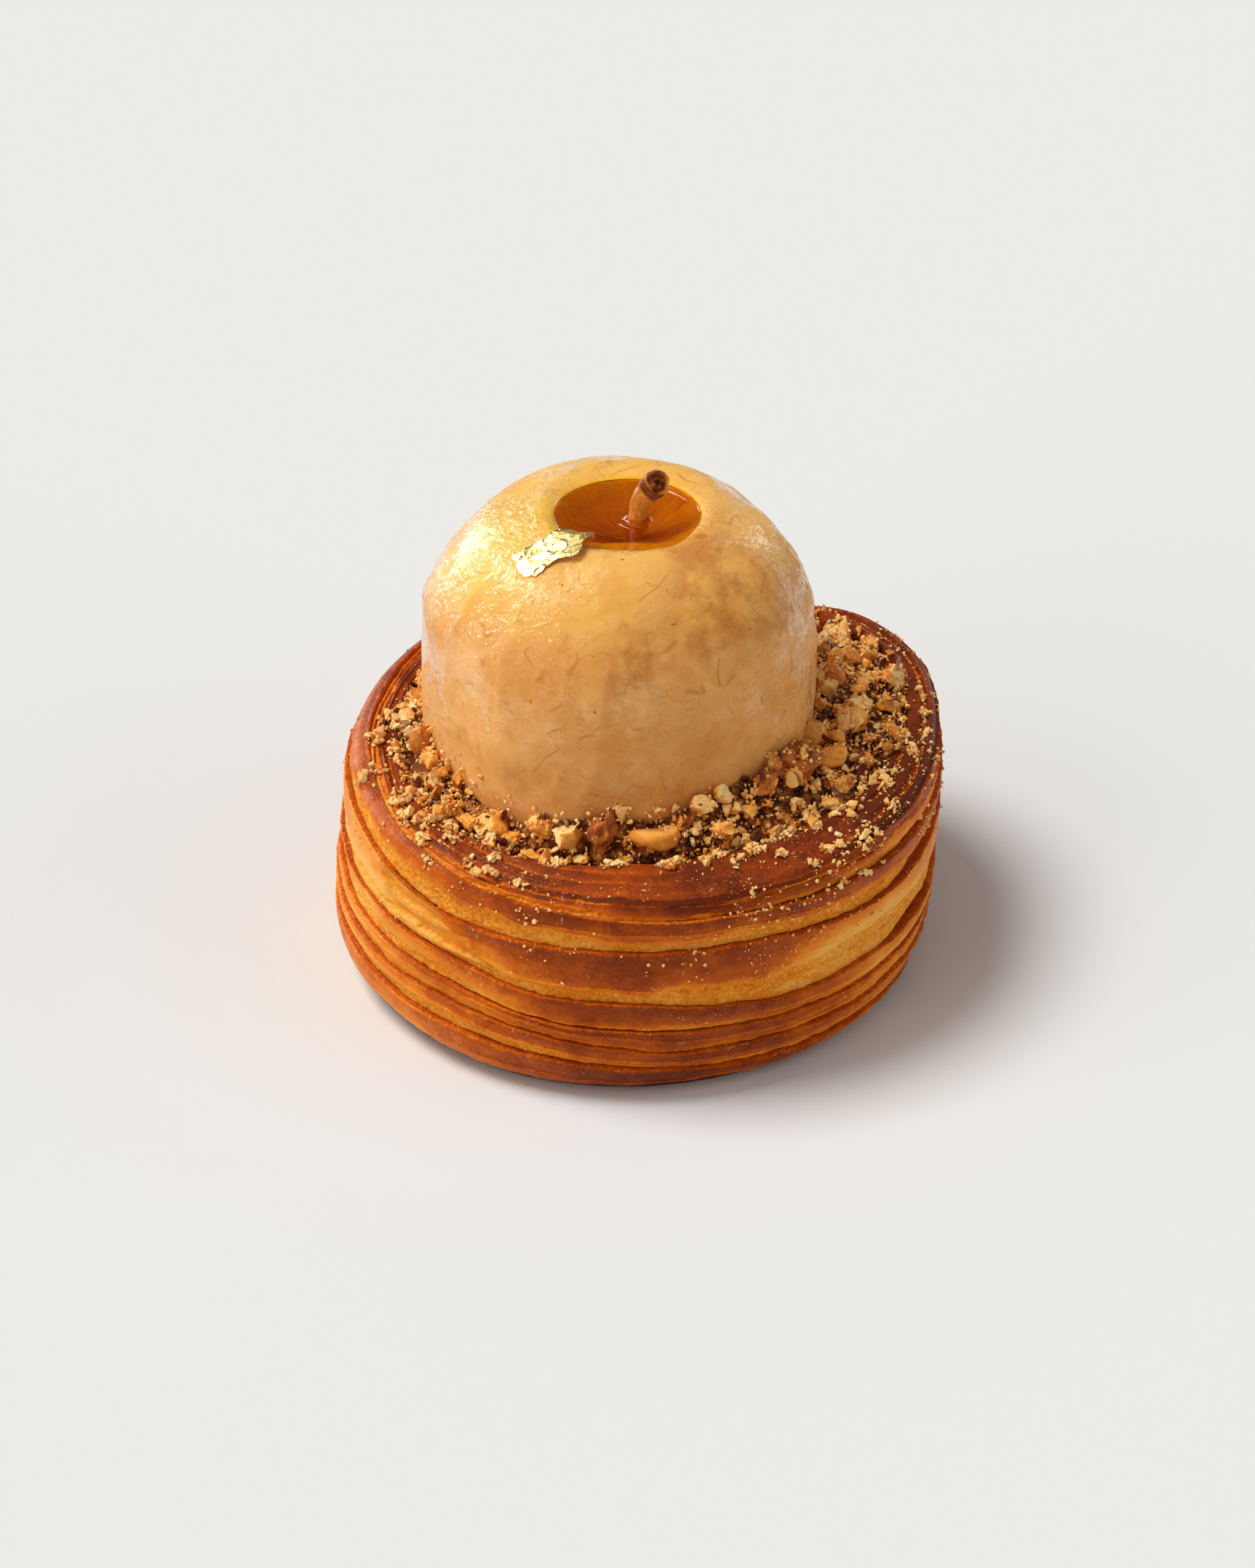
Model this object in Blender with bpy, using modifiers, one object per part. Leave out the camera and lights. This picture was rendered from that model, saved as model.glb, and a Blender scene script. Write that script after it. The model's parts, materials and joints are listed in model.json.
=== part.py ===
"""A whole peeled and glazed apple baked upright in a round of laminated pastry.

The pastry is a coiled band of dough layers with a well in its middle. The apple stands in the well,
chopped nuts fill the trough round it, amber syrup fills its stem hollow round the stalk, and a scrap
of gold leaf lies on its shoulder. Sizes are in metres, written as millimetres times MM; azimuths are
in degrees, 0 at +X and 270 at the front.
"""

import math
import random

import bmesh
import bpy
import numpy as np
from mathutils import Euler, Vector, noise

MM = 0.001
GAP = 0.35 * MM  # air between touching pieces

# Pastry: (height, radius) up the outside from the base's edge and over the rim
WALL_OUTLINE = np.array([
    (0.0, 46.2), (0.8, 47.0), (3.0, 48.2), (8.0, 49.6), (14.0, 50.1), (20.0, 50.1), (26.0, 49.8),
    (31.0, 49.6), (34.5, 49.4), (36.8, 49.0), (38.2, 47.8), (38.8, 44.9), (38.6, 41.0)]) * MM
PASTRY_COLUMNS = 60
BASE_CENTRE = np.array((0.2, -0.8)) * MM
RIM_SHIFT = np.array((1.8, 0.6)) * MM  # how far the rim's centre leans from the base's
RIM_RISE = (0.8 * MM, 2.4 * MM, 1.6 * MM)  # all round, towards +X and towards +Y
WALL_OVAL = (0.8 * MM, 0.6 * MM)  # stretch along X and along the diagonal
FOOT_TOP = 2.3 * MM  # the dark foot below the first layer, as a run up the wall
FOOT_INSET = 1.1 * MM
HIGH_SIDE = 190.0  # the coil of layers runs highest here and lowest opposite
# Layer: run of its browned lip up the wall, rise of the lip at the high side, stand-out, crack depth
LAYERS = {
    "first": (7.2, 4.2, 0.5, 1.3), "second": (11.6, 4.2, 0.5, 1.4), "third": (15.2, 4.4, 0.4, 1.2),
    "fourth": (20.0, 5.0, 0.5, 1.0), "wide": (30.5, 4.5, 0.6, 1.5), "crest": (36.6, 4.6, 0.7, 1.3),
    "inner": (38.5, 4.1, 0.0, 1.1), "rim": (40.2, 3.6, 0.3, 1.0)}
LAYER_STEPS = ((0.12, "crack"), (0.40, "crumb"), (0.72, "band"), (1.0, "lip"))
TEAR = (229.0, 20.0, 1.6 * MM)  # azimuth, half width and depth of the open flakes in the wide layer
GAPE = (340.0, 18.0, 0.9)  # azimuth, half width and extra share of depth where the cracks gape
RIM_DROOP = 0.9 * MM
WELL_FLOOR = 23.2 * MM
WELL_LIP = 33.0 * MM
WELL_TAPER = 3.5 * MM

# Apple: centre in plan, height of its widest ring, radius there, reach above and below it
APPLE_CENTRE = np.array((-2.0, 3.0)) * MM
APPLE_WAIST = 42.65 * MM
APPLE_RADIUS = 33.1 * MM
APPLE_ABOVE, APPLE_ABOVE_POWER = 39.3 * MM, 2.83
APPLE_BELOW, APPLE_BELOW_POWER = 19.0 * MM, 2.1
APPLE_FACETS = ((5, 0.009, 40.0), (3, 0.007, 115.0), (8, 0.004, 10.0))  # count, share, azimuth
APPLE_COLUMNS = 38
APPLE_BANDS = 12
HOLLOW_SHIFT = 1.3 * MM  # the stem hollow sits this far along +X of the apple's axis
HOLLOW_SHIFT_FROM = 60.0 * MM
SHOULDER_RADIUS = 15.5 * MM
# Stem hollow: (radius, height) from the shoulder's crest down to its bottom
HOLLOW_OUTLINE = np.array([
    (14.0, 80.55), (12.5, 80.0), (11.4, 78.3), (8.7, 75.2), (5.2, 72.7), (2.4, 71.3)]) * MM
HOLLOW_BOTTOM = 71.1 * MM
SYRUP_LEVEL = 79.6 * MM

# Stalk: (along X and Y from the hollow's middle, height, radius)
STALK = ((-0.2, -1.4, 72.5, 1.5), (0.1, -2.6, 75.8, 1.45), (0.6, -3.4, 79.2, 1.5), (1.7, -3.5, 82.2, 1.6),
         (3.1, -3.1, 84.7, 1.8), (4.2, -2.7, 86.4, 2.15), (4.9, -2.4, 87.5, 2.4))

# Gold leaf: middle in plan, direction of its length, length, width, thickness
LEAF_CENTRE = np.array((-12.9, -9.4)) * MM
LEAF_TURN = -16.0
LEAF_SIZE = (13.0 * MM, 8.6 * MM)
LEAF_THICKNESS = 0.35 * MM
LEAF_CELLS = (9, 6)

# Nuts
NUT_LEVEL = 35.7 * MM
NUT_HEAP = 1.3 * MM  # how much higher the nuts lie against the apple than at the rim
NUT_COLUMNS = 40
NUT_PIECES = 72
NUT_SIZES = (4.2 * MM, 9.0 * MM)
SPREAD = (0.7548777, 0.5698403)  # steps of an even spread over a square: round the trough and across it
NUT_STAND = 0.27  # share of its size by which a piece's middle stands above the heap
# Crumbs on the rim: from and to azimuth, how many, from and to run up the wall
CRUMB_DRIFTS = ((182, 238, 12, 42.0, 45.5), (298, 352, 12, 39.0, 44.0), (20, 165, 10, 41.0, 45.0))
CRUMB_SIZES = (1.7 * MM, 3.0 * MM)


def clear_scene():
    for obj in list(bpy.data.objects):
        bpy.data.objects.remove(obj, do_unlink=True)


def new_collection(name):
    collection = bpy.data.collections.new(name)
    bpy.context.scene.collection.children.link(collection)
    return collection


def material(name, colour, roughness, metallic=0.0):
    made = bpy.data.materials.new(name)
    made.use_nodes = True
    shader = made.node_tree.nodes["Principled BSDF"]
    shader.inputs["Base Color"].default_value = (*colour, 1.0)
    shader.inputs["Roughness"].default_value = roughness
    shader.inputs["Metallic"].default_value = metallic
    return made


def add_object(name, mesh, collection, finish=None):
    obj = bpy.data.objects.new(name, mesh)
    collection.objects.link(obj)
    if finish:
        mesh.materials.clear()
        mesh.materials.append(finish)
    return obj


def lofted_mesh(name, rings, start, end):
    """A closed mesh through rings of points, all of one length, closed by a point at each end.

    The rings run so that the surface faces outwards when they turn anticlockwise and climb."""
    columns = len(rings[0])
    points = [start] + [point for ring in rings for point in ring] + [end]
    faces = []
    for column in range(columns):
        after = (column + 1) % columns
        faces.append((0, 1 + after, 1 + column))
        for ring in range(len(rings) - 1):
            low, high = 1 + ring * columns, 1 + (ring + 1) * columns
            faces.append((low + column, low + after, high + after, high + column))
        last = 1 + (len(rings) - 1) * columns
        faces.append((last + column, last + after, len(points) - 1))
    mesh = bpy.data.meshes.new(name)
    mesh.from_pydata([tuple(point) for point in points], [], faces)
    mesh.validate()
    return mesh


def bump(azimuth, middle, half_width):
    """1 at the middle azimuth, falling smoothly to 0 at half_width from it."""
    away = abs((azimuth - middle + 180.0) % 360.0 - 180.0) / half_width
    return 0.5 + 0.5 * math.cos(math.pi * away) if away < 1.0 else 0.0


def ripple(azimuth, height, scale, seed):
    """Smooth noise from -1 to 1 round the part and up its height."""
    turn = math.radians(azimuth)
    return noise.noise(Vector((scale * math.cos(turn) + seed, scale * math.sin(turn), height / (6.0 * MM))))


# The pastry's skin

WALL_RUN = np.concatenate([[0.0], np.cumsum(np.hypot(*np.diff(WALL_OUTLINE, axis=0).T))])


def wall_point(run, azimuth, proud=0.0):
    """A point of the pastry's outside, a run up the wall from the base's edge, and proud of it."""
    step = 0.8 * MM
    height, radius = (np.interp(run, WALL_RUN, WALL_OUTLINE[:, side]) for side in (0, 1))
    (low, near), (high, far) = (
        [np.interp(run + along, WALL_RUN, WALL_OUTLINE[:, side]) for side in (0, 1)] for along in (-step, step))
    slope = math.atan2(high - low, far - near)
    radius += proud * math.sin(slope)
    height -= proud * math.cos(slope)
    return placed(radius, azimuth, height)


def placed(radius, azimuth, height):
    """A point of the pastry, leaning and rising with its rim as its height grows."""
    turn = math.radians(azimuth)
    share = min(max(height / (36.0 * MM), 0.0), 1.0)
    middle = BASE_CENTRE + RIM_SHIFT * share * share * (3.0 - 2.0 * share)
    radius += oval(azimuth)
    height += rim_rise(azimuth) * share
    return Vector((middle[0] + radius * math.cos(turn), middle[1] + radius * math.sin(turn), height))


def oval(azimuth):
    double = math.radians(2.0 * azimuth)
    return WALL_OVAL[0] * math.cos(double) + WALL_OVAL[1] * math.sin(double)


def rim_rise(azimuth):
    turn = math.radians(azimuth)
    all_round, along_x, along_y = RIM_RISE
    return all_round + along_x * math.cos(turn) + along_y * math.sin(turn)


def lip_run(layer, azimuth):
    middle, rise = LAYERS[layer][:2]
    return (middle + rise * math.cos(math.radians(azimuth - HIGH_SIDE))) * MM


def inner_radius(azimuth):
    """Radius of the rim's inner edge, narrow at the front and wide at the sides."""
    turn = math.radians(azimuth)
    return (41.0 + 3.2 * math.sin(turn) + 0.5 * math.cos(turn) + 2.0 * math.cos(2.0 * turn)) * MM


def layer_points(azimuth):
    """The wall's points at one azimuth: for each layer its crack, crumbly foot, browned band and lip."""
    points = []
    below = FOOT_TOP
    for number, (layer, (_, _, lip, crack)) in enumerate(LAYERS.items()):
        top = lip_run(layer, azimuth) + 0.35 * MM * ripple(azimuth, 0.0, 5.0, 3.0 * number)
        thick = top - below
        depth = min(crack * MM, 0.45 * thick) * (1.0 + GAPE[2] * bump(azimuth, *GAPE[:2]))
        stand = min(lip * MM, 0.3 * thick)
        proud = {"crack": -depth, "crumb": -0.3 * depth, "band": 0.6 * stand, "lip": stand}
        if layer == "wide":
            proud["crumb"] -= TEAR[2] * bump(azimuth, *TEAR[:2])
        for share, kind in LAYER_STEPS:
            run = below + share * thick
            uneven = 0.25 * MM * ripple(azimuth, run, 7.0, 1.0)
            points.append(wall_point(run, azimuth, proud[kind] + uneven))
        below = top
    return points


def rim_points(azimuth):
    """The flat browned top of the rim, then the well's wall and the edge of its floor."""
    start = lip_run("rim", azimuth)
    radius, height = (np.interp(start, WALL_RUN, WALL_OUTLINE[:, side]) for side in (1, 0))
    inner = inner_radius(azimuth)
    points = []
    for share, drop in ((0.12, 0.7), (0.55, -0.3), (0.9, 0.1)):
        across = radius + (inner - radius) * share
        top = np.interp(across, WALL_OUTLINE[:9:-1, 1], WALL_OUTLINE[:9:-1, 0])
        uneven = 0.3 * MM * ripple(azimuth, across, 4.0, 9.0)
        points.append(placed(across, azimuth, min(top, height + 2.0 * MM) - drop * MM + uneven))
    points.append(placed(inner, azimuth, WALL_OUTLINE[-1, 0] - RIM_DROOP))
    points += [from_rim_centre(well_reach(azimuth, height), azimuth, height) for height in (WELL_LIP, WELL_FLOOR)]
    return points


def well_reach(azimuth, height):
    """Radius of the well's wall about the rim's centre, tapering in to the floor."""
    share = min(max((WELL_LIP - height) / (WELL_LIP - WELL_FLOOR), 0.0), 1.0)
    return inner_radius(azimuth) + oval(azimuth) - WELL_TAPER * (0.2 + 0.8 * share)


def from_rim_centre(radius, azimuth, height):
    turn = math.radians(azimuth)
    middle = BASE_CENTRE + RIM_SHIFT
    return Vector((middle[0] + radius * math.cos(turn), middle[1] + radius * math.sin(turn), height))


def foot_points(azimuth):
    """The base's flat edge and the dark inset foot above it."""
    edge = wall_point(0.0, azimuth, -FOOT_INSET)
    edge.z = 0.0
    return [edge, wall_point(0.85 * FOOT_TOP, azimuth, -FOOT_INSET)]


# The apple's skin


def apple_middle(height):
    share = min(max((height - HOLLOW_SHIFT_FROM) / (SYRUP_LEVEL - HOLLOW_SHIFT_FROM), 0.0), 1.0)
    return APPLE_CENTRE + np.array((HOLLOW_SHIFT * share, 0.0))


def apple_radius(height, azimuth):
    """Radius of the apple about its own axis, with the soft facets that peeling leaves."""
    reach, power = (
        (APPLE_ABOVE, APPLE_ABOVE_POWER) if height > APPLE_WAIST else (APPLE_BELOW, APPLE_BELOW_POWER))
    share = min(abs(height - APPLE_WAIST) / reach, 1.0)
    facets = sum(depth * math.cos(math.radians(count * (azimuth - start))) for count, depth, start in APPLE_FACETS)
    return APPLE_RADIUS * (1.0 - share ** power) ** (1.0 / power) * (1.0 + facets)


def apple_top(x, y):
    """Height of the apple's outside over a place in plan."""
    height = SYRUP_LEVEL
    for _ in range(6):
        middle = apple_middle(height)
        share = min(math.hypot(x - middle[0], y - middle[1]) / APPLE_RADIUS, 1.0)
        height = APPLE_WAIST + APPLE_ABOVE * (1.0 - share ** APPLE_ABOVE_POWER) ** (1.0 / APPLE_ABOVE_POWER)
    return height


def apple_ring(height, radius_of):
    middle = apple_middle(height)
    ring = []
    for column in range(APPLE_COLUMNS):
        azimuth = 360.0 * column / APPLE_COLUMNS
        turn = math.radians(azimuth)
        radius = radius_of(azimuth)
        ring.append(Vector((middle[0] + radius * math.cos(turn), middle[1] + radius * math.sin(turn), height)))
    return ring


def reach_to_apple(azimuth, height, gap):
    """Distance from the rim's centre to the near side of the apple, with a gap."""
    turn = math.radians(azimuth)
    away = BASE_CENTRE + RIM_SHIFT - APPLE_CENTRE
    along = away[0] * math.cos(turn) + away[1] * math.sin(turn)
    aside = away[1] * math.cos(turn) - away[0] * math.sin(turn)
    reach, facing = 0.0, azimuth
    for _ in range(3):
        radius = apple_radius(height, facing) + gap
        reach = math.sqrt(max(radius * radius - aside * aside, 0.0))
        facing = azimuth + math.degrees(math.atan2(aside, reach))
    return reach - along


# Solids


def make_pastry(collection, finish):
    azimuths = [360.0 * column / PASTRY_COLUMNS for column in range(PASTRY_COLUMNS)]
    profiles = [foot_points(azimuth) + layer_points(azimuth) + rim_points(azimuth) for azimuth in azimuths]
    rings = list(zip(*profiles))
    start = Vector((*BASE_CENTRE, 0.0))
    end = Vector((*(BASE_CENTRE + RIM_SHIFT), WELL_FLOOR))
    pastry = add_object("pastry", lofted_mesh("pastry", rings, start, end), collection, finish)
    return fused(pastry, rim_crumbs(), finish)


def make_apple(collection, finish):
    lowest = APPLE_WAIST - APPLE_BELOW
    rings = []
    for band in range(1, APPLE_BANDS):
        lift = math.sin(math.radians(-90.0 + 90.0 * band / (APPLE_BANDS // 2)))
        if lift >= 0.0:
            break
        height = APPLE_WAIST + lift * APPLE_BELOW
        rings.append(apple_ring(height, lambda azimuth, height=height: apple_radius(height, azimuth)))
    shoulder = (1.0 - (SHOULDER_RADIUS / APPLE_RADIUS) ** APPLE_ABOVE_POWER) ** (1.0 / APPLE_ABOVE_POWER)
    for band in range(APPLE_BANDS):
        height = APPLE_WAIST + APPLE_ABOVE * shoulder * math.sin(math.radians(90.0 * band / (APPLE_BANDS - 1)))
        rings.append(apple_ring(height, lambda azimuth, height=height: apple_radius(height, azimuth)))
    for radius, height in HOLLOW_OUTLINE:
        rings.append(apple_ring(height, lambda azimuth, radius=radius: radius))
    start = Vector((*apple_middle(lowest), lowest))
    end = Vector((*apple_middle(SYRUP_LEVEL), HOLLOW_BOTTOM))
    return add_object("apple", lofted_mesh("apple", rings, start, end), collection, finish)


def stalk_curve(name, grow, extra_foot=0.0):
    """The stalk as a curve; grow widens it and extra_foot lengthens it at its foot, for the cutter."""
    middle = apple_middle(SYRUP_LEVEL)
    curve = bpy.data.curves.new(name, "CURVE")
    curve.dimensions = "3D"
    curve.bevel_depth = 1.0
    curve.bevel_resolution = 4
    curve.use_fill_caps = True
    spline = curve.splines.new("POLY")
    spline.points.add(len(STALK) - 1)
    for point, (x, y, height, radius) in zip(spline.points, STALK):
        point.co = (middle[0] + x * MM, middle[1] + y * MM, height * MM, 1.0)
        point.radius = radius * MM + grow
    foot, after = spline.points[0], spline.points[1]
    foot.co += (foot.co - after.co).normalized() * extra_foot
    return bpy.data.objects.new(name, curve)


def mesh_from_curve(obj, collection, finish=None):
    """The curve object made a closed mesh object of the same name, and the curve removed."""
    collection.objects.link(obj)
    bpy.context.view_layer.update()
    name = obj.name
    mesh = bpy.data.meshes.new_from_object(obj.evaluated_get(bpy.context.evaluated_depsgraph_get()))
    cleaned = bmesh.new()
    cleaned.from_mesh(mesh)
    bmesh.ops.remove_doubles(cleaned, verts=cleaned.verts, dist=0.00001)
    bmesh.ops.recalc_face_normals(cleaned, faces=cleaned.faces)
    cleaned.to_mesh(mesh)
    cleaned.free()
    bpy.data.objects.remove(obj, do_unlink=True)
    made = add_object(name, mesh, collection, finish)
    made.data.name = name
    return made


def make_stalk(collection, finish):
    stalk = mesh_from_curve(stalk_curve("stem", 0.0), collection, finish)
    stalk.data.shade_smooth()
    return stalk


def make_syrup(collection, cutters, finish):
    """Syrup filling the stem hollow up to its level, cut round the stalk."""
    inset = [(radius - GAP, height + 0.6 * GAP) for radius, height in HOLLOW_OUTLINE[2:]][::-1]
    edge = np.interp(SYRUP_LEVEL, HOLLOW_OUTLINE[::-1, 1], HOLLOW_OUTLINE[::-1, 0]) - GAP
    rings = [apple_ring(height, lambda azimuth, radius=radius: radius) for radius, height in inset]
    rings.append(apple_ring(SYRUP_LEVEL, lambda azimuth: edge))
    middle = apple_middle(SYRUP_LEVEL)
    start = Vector((*middle, HOLLOW_BOTTOM + GAP))
    syrup = add_object(
        "syrup", lofted_mesh("syrup", rings, start, Vector((*middle, SYRUP_LEVEL))), collection, finish)
    cutter = mesh_from_curve(stalk_curve("stem_clearance", GAP, 3.0 * MM), cutters)
    cutter.hide_render = True
    cutter.display_type = "WIRE"
    cut = syrup.modifiers.new("round the stalk", "BOOLEAN")
    cut.operation = "DIFFERENCE"
    cut.object = cutter
    return syrup


def make_leaf(collection, finish):
    """A crumpled scrap of gold leaf lying on the apple's shoulder."""
    turn = math.radians(LEAF_TURN)
    along, across = LEAF_CELLS
    length, width = LEAF_SIZE
    points, faces = [], []
    for i in range(along + 1):
        for j in range(across + 1):
            u, v = i / along - 0.5, j / across - 0.5
            narrow = 1.0 - 0.9 * abs(u + 0.05) ** 1.5 * 1.6
            ragged = 0.7 * MM * noise.noise(Vector((5.0 * u, 5.0 * v, 2.0)))
            x = u * length + ragged
            y = v * width * narrow + 0.5 * ragged
            place = LEAF_CENTRE + np.array((x * math.cos(turn) - y * math.sin(turn),
                                            x * math.sin(turn) + y * math.cos(turn)))
            crumple = 0.6 * MM * (1.0 + noise.noise(Vector((6.0 * u, 4.0 * v, 7.0)))) + 0.8 * MM * bump(u, 0.42, 0.14)
            points.append((*place, apple_top(*place) + GAP + LEAF_THICKNESS + crumple))
    for i in range(along):
        for j in range(across):
            a = i * (across + 1) + j
            b = a + across + 1
            faces += [(a, b, b + 1), (a, b + 1, a + 1)]
    mesh = bpy.data.meshes.new("gold_leaf")
    mesh.from_pydata(points, [], faces)
    leaf = add_object("gold_leaf", mesh, collection, finish)
    shell = leaf.modifiers.new("thickness", "SOLIDIFY")
    shell.thickness = LEAF_THICKNESS
    shell.offset = 0.0
    return leaf


def chip(rng, size):
    """A chopped piece about its own middle: a rough, squashed lump, turned any way round."""
    lengths = Vector((size, size * rng.uniform(0.65, 0.9), size * rng.uniform(0.5, 0.75))) * 0.5
    made = bmesh.new()
    bmesh.ops.create_icosphere(made, subdivisions=1, radius=1.0)
    for vert in made.verts:
        vert.co = Vector([side * reach for side, reach in zip(vert.co * rng.uniform(0.8, 1.15), lengths)])
    turn = Euler((rng.uniform(-0.6, 0.6), rng.uniform(-0.6, 0.6), rng.uniform(0.0, math.tau)))
    bmesh.ops.transform(made, matrix=turn.to_matrix().to_4x4(), verts=made.verts)
    return made


def chip_object(shape, place, collection, keep=None):
    """The chip as an object at its place, each of its points first passed through keep."""
    for vert in shape.verts:
        vert.co += place
        if keep:
            vert.co = keep(vert.co)
    bmesh.ops.recalc_face_normals(shape, faces=shape.faces)
    mesh = bpy.data.meshes.new("chip")
    shape.to_mesh(mesh)
    shape.free()
    return add_object("chip", mesh, collection)


def rim_crumbs():
    """Crumbs of nut lying on the rim in drifts."""
    rng = random.Random(11)
    pieces = new_collection("rim_crumbs")
    for start, stop, count, low, high in CRUMB_DRIFTS:
        for number in range(count):
            azimuth = start + (stop - start) * (number + rng.uniform(0.2, 0.8)) / count
            size = rng.uniform(*CRUMB_SIZES)
            place = wall_point(rng.uniform(low, high) * MM, azimuth, 0.12 * size)
            chip_object(chip(rng, size), place, pieces)
    return pieces


def trough_point(azimuth, share, height):
    """A point between the apple (share 0) and the well's wall (share 1) at this height."""
    near = reach_to_apple(azimuth, height, 2.0 * GAP)
    far = well_reach(azimuth, height) - 2.0 * GAP
    return from_rim_centre(near + (far - near) * share, azimuth, height)


def nut_height(azimuth, share):
    """Level of the nuts: heaped against the apple and higher where the rim is higher."""
    uneven = 0.7 * MM * ripple(azimuth, 0.0, 6.0, 20.0 + share)
    return NUT_LEVEL + rim_rise(azimuth) + NUT_HEAP * (1.0 - share) + uneven


def kept_in_trough(point):
    """The point moved, where it has to be, to stay clear of the apple and inside the well."""
    middle = BASE_CENTRE + RIM_SHIFT
    azimuth = math.degrees(math.atan2(point.y - middle[1], point.x - middle[0])) % 360.0
    radius = math.hypot(point.x - middle[0], point.y - middle[1])
    height = max(point.z, WELL_FLOOR + 2.0 * MM)
    near = reach_to_apple(azimuth, height, 3.0 * GAP)
    far = well_reach(azimuth, height) - 2.0 * GAP
    return from_rim_centre(min(max(radius, near), far), azimuth, height)


def make_nuts(collection, finish):
    """The heap in the trough: a ring-shaped core with chopped pieces standing out of its top."""
    below = [(1.0, 31.0 * MM), (1.0, WELL_FLOOR + GAP), (0.3, WELL_FLOOR + GAP)]
    below += [(0.0, height * MM) for height in (25.6, 27.2, 29.4, 32.0)]
    rings = []
    for column in range(NUT_COLUMNS):
        azimuth = 360.0 * column / NUT_COLUMNS
        core = [(share, nut_height(azimuth, share)) for share in (0.0, 0.35, 0.7, 1.0)] + below
        core.append((0.0, 0.5 * (core[0][1] + core[-1][1])))
        rings.append([trough_point(azimuth, share, height) for share, height in core])
    nuts = add_object("nuts", ring_mesh("nuts", rings), collection, finish)
    rng = random.Random(5)
    pieces = new_collection("nut_pieces")
    draws = 0
    while len(pieces.objects) < NUT_PIECES:
        draws += 1
        azimuth, share = 360.0 * (draws * SPREAD[0] % 1.0), 0.14 + 0.72 * (draws * SPREAD[1] % 1.0)
        width = well_reach(azimuth, NUT_LEVEL) - reach_to_apple(azimuth, NUT_LEVEL, 0.0)
        if width < rng.uniform(-4.0, 14.0) * MM:
            continue
        size = NUT_SIZES[0] + (NUT_SIZES[1] - NUT_SIZES[0]) * rng.random() ** 1.8
        height = nut_height(azimuth, share) + NUT_STAND * size
        chip_object(chip(rng, size), trough_point(azimuth, share, height), pieces, kept_in_trough)
    return fused(nuts, pieces, finish)


def ring_mesh(name, sections):
    """A closed ring through sections of points that turn about +Z, each section one closed loop."""
    count = len(sections[0])
    points = [point for section in sections for point in section]
    faces = []
    for number in range(len(sections)):
        here, there = number * count, (number + 1) % len(sections) * count
        for k in range(count):
            after = (k + 1) % count
            faces.append((here + k, here + after, there + after, there + k))
    mesh = bpy.data.meshes.new(name)
    mesh.from_pydata([tuple(point) for point in points], [], faces)
    shape = bmesh.new()
    shape.from_mesh(mesh)
    bmesh.ops.recalc_face_normals(shape, faces=shape.faces)
    shape.to_mesh(mesh)
    shape.free()
    return mesh


def fused(body, pieces, finish):
    """The body with every object of the collection joined on, its scraps dropped and the pieces removed."""
    union = body.modifiers.new("fused pieces", "BOOLEAN")
    union.operation = "UNION"
    union.operand_type = "COLLECTION"
    union.collection = pieces
    bpy.context.view_layer.update()
    mesh = bpy.data.meshes.new_from_object(body.evaluated_get(bpy.context.evaluated_depsgraph_get()))
    body.modifiers.clear()
    for piece in list(pieces.objects):
        bpy.data.objects.remove(piece, do_unlink=True)
    bpy.data.collections.remove(pieces)
    shape = bmesh.new()
    shape.from_mesh(mesh)
    bmesh.ops.triangulate(shape, faces=shape.faces)
    keep_largest(shape)
    shape.to_mesh(mesh)
    shape.free()
    mesh.name = body.name
    mesh.materials.clear()
    mesh.materials.append(finish)
    body.data = mesh
    return body


def keep_largest(shape):
    """Deletes every loose shell but the one with the most faces."""
    left = set(shape.faces)
    shells = []
    while left:
        grown = [left.pop()]
        for face in grown:
            for edge in face.edges:
                for other in edge.link_faces if len(edge.link_faces) == 2 else ():
                    if other in left:
                        left.remove(other)
                        grown.append(other)
        shells.append(grown)
    shells.sort(key=len)
    for shell in shells[:-1]:
        bmesh.ops.delete(shape, geom=shell, context="FACES")
    bmesh.ops.delete(shape, geom=[vert for vert in shape.verts if not vert.link_faces], context="VERTS")


def stand_at_origin(objects):
    """Moves every solid alike, so that the middle of their common box stands over the origin."""
    corners = np.array([vert.co for obj in objects for vert in obj.data.vertices])
    middle = (corners.min(axis=0) + corners.max(axis=0)) / 2.0
    for obj in objects:
        for vert in obj.data.vertices:
            vert.co.x -= middle[0]
            vert.co.y -= middle[1]


def main():
    clear_scene()
    parts = new_collection("apple_pastry")
    cutters = new_collection("cutters")
    pastry_crust = material("pastry_crust", (0.42, 0.17, 0.05), 0.5)
    apple_flesh = material("apple_flesh", (0.72, 0.52, 0.28), 0.3)
    stalk_bark = material("stalk_bark", (0.07, 0.035, 0.02), 0.7)
    amber_syrup = material("amber_syrup", (0.45, 0.2, 0.03), 0.1)
    gold = material("gold", (0.85, 0.62, 0.2), 0.25, 1.0)
    chopped_nut = material("chopped_nut", (0.55, 0.36, 0.17), 0.6)
    solids = [
        make_pastry(parts, pastry_crust),
        make_apple(parts, apple_flesh),
        make_stalk(parts, stalk_bark),
        make_syrup(parts, cutters, amber_syrup),
        make_leaf(parts, gold),
        make_nuts(parts, chopped_nut),
    ]
    stand_at_origin(solids + list(cutters.objects))


main()
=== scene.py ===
import json
import math
import random

import bmesh
import bpy
import numpy as np
from mathutils import Euler, Matrix, Vector, noise
from mathutils.bvhtree import BVHTree

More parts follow.
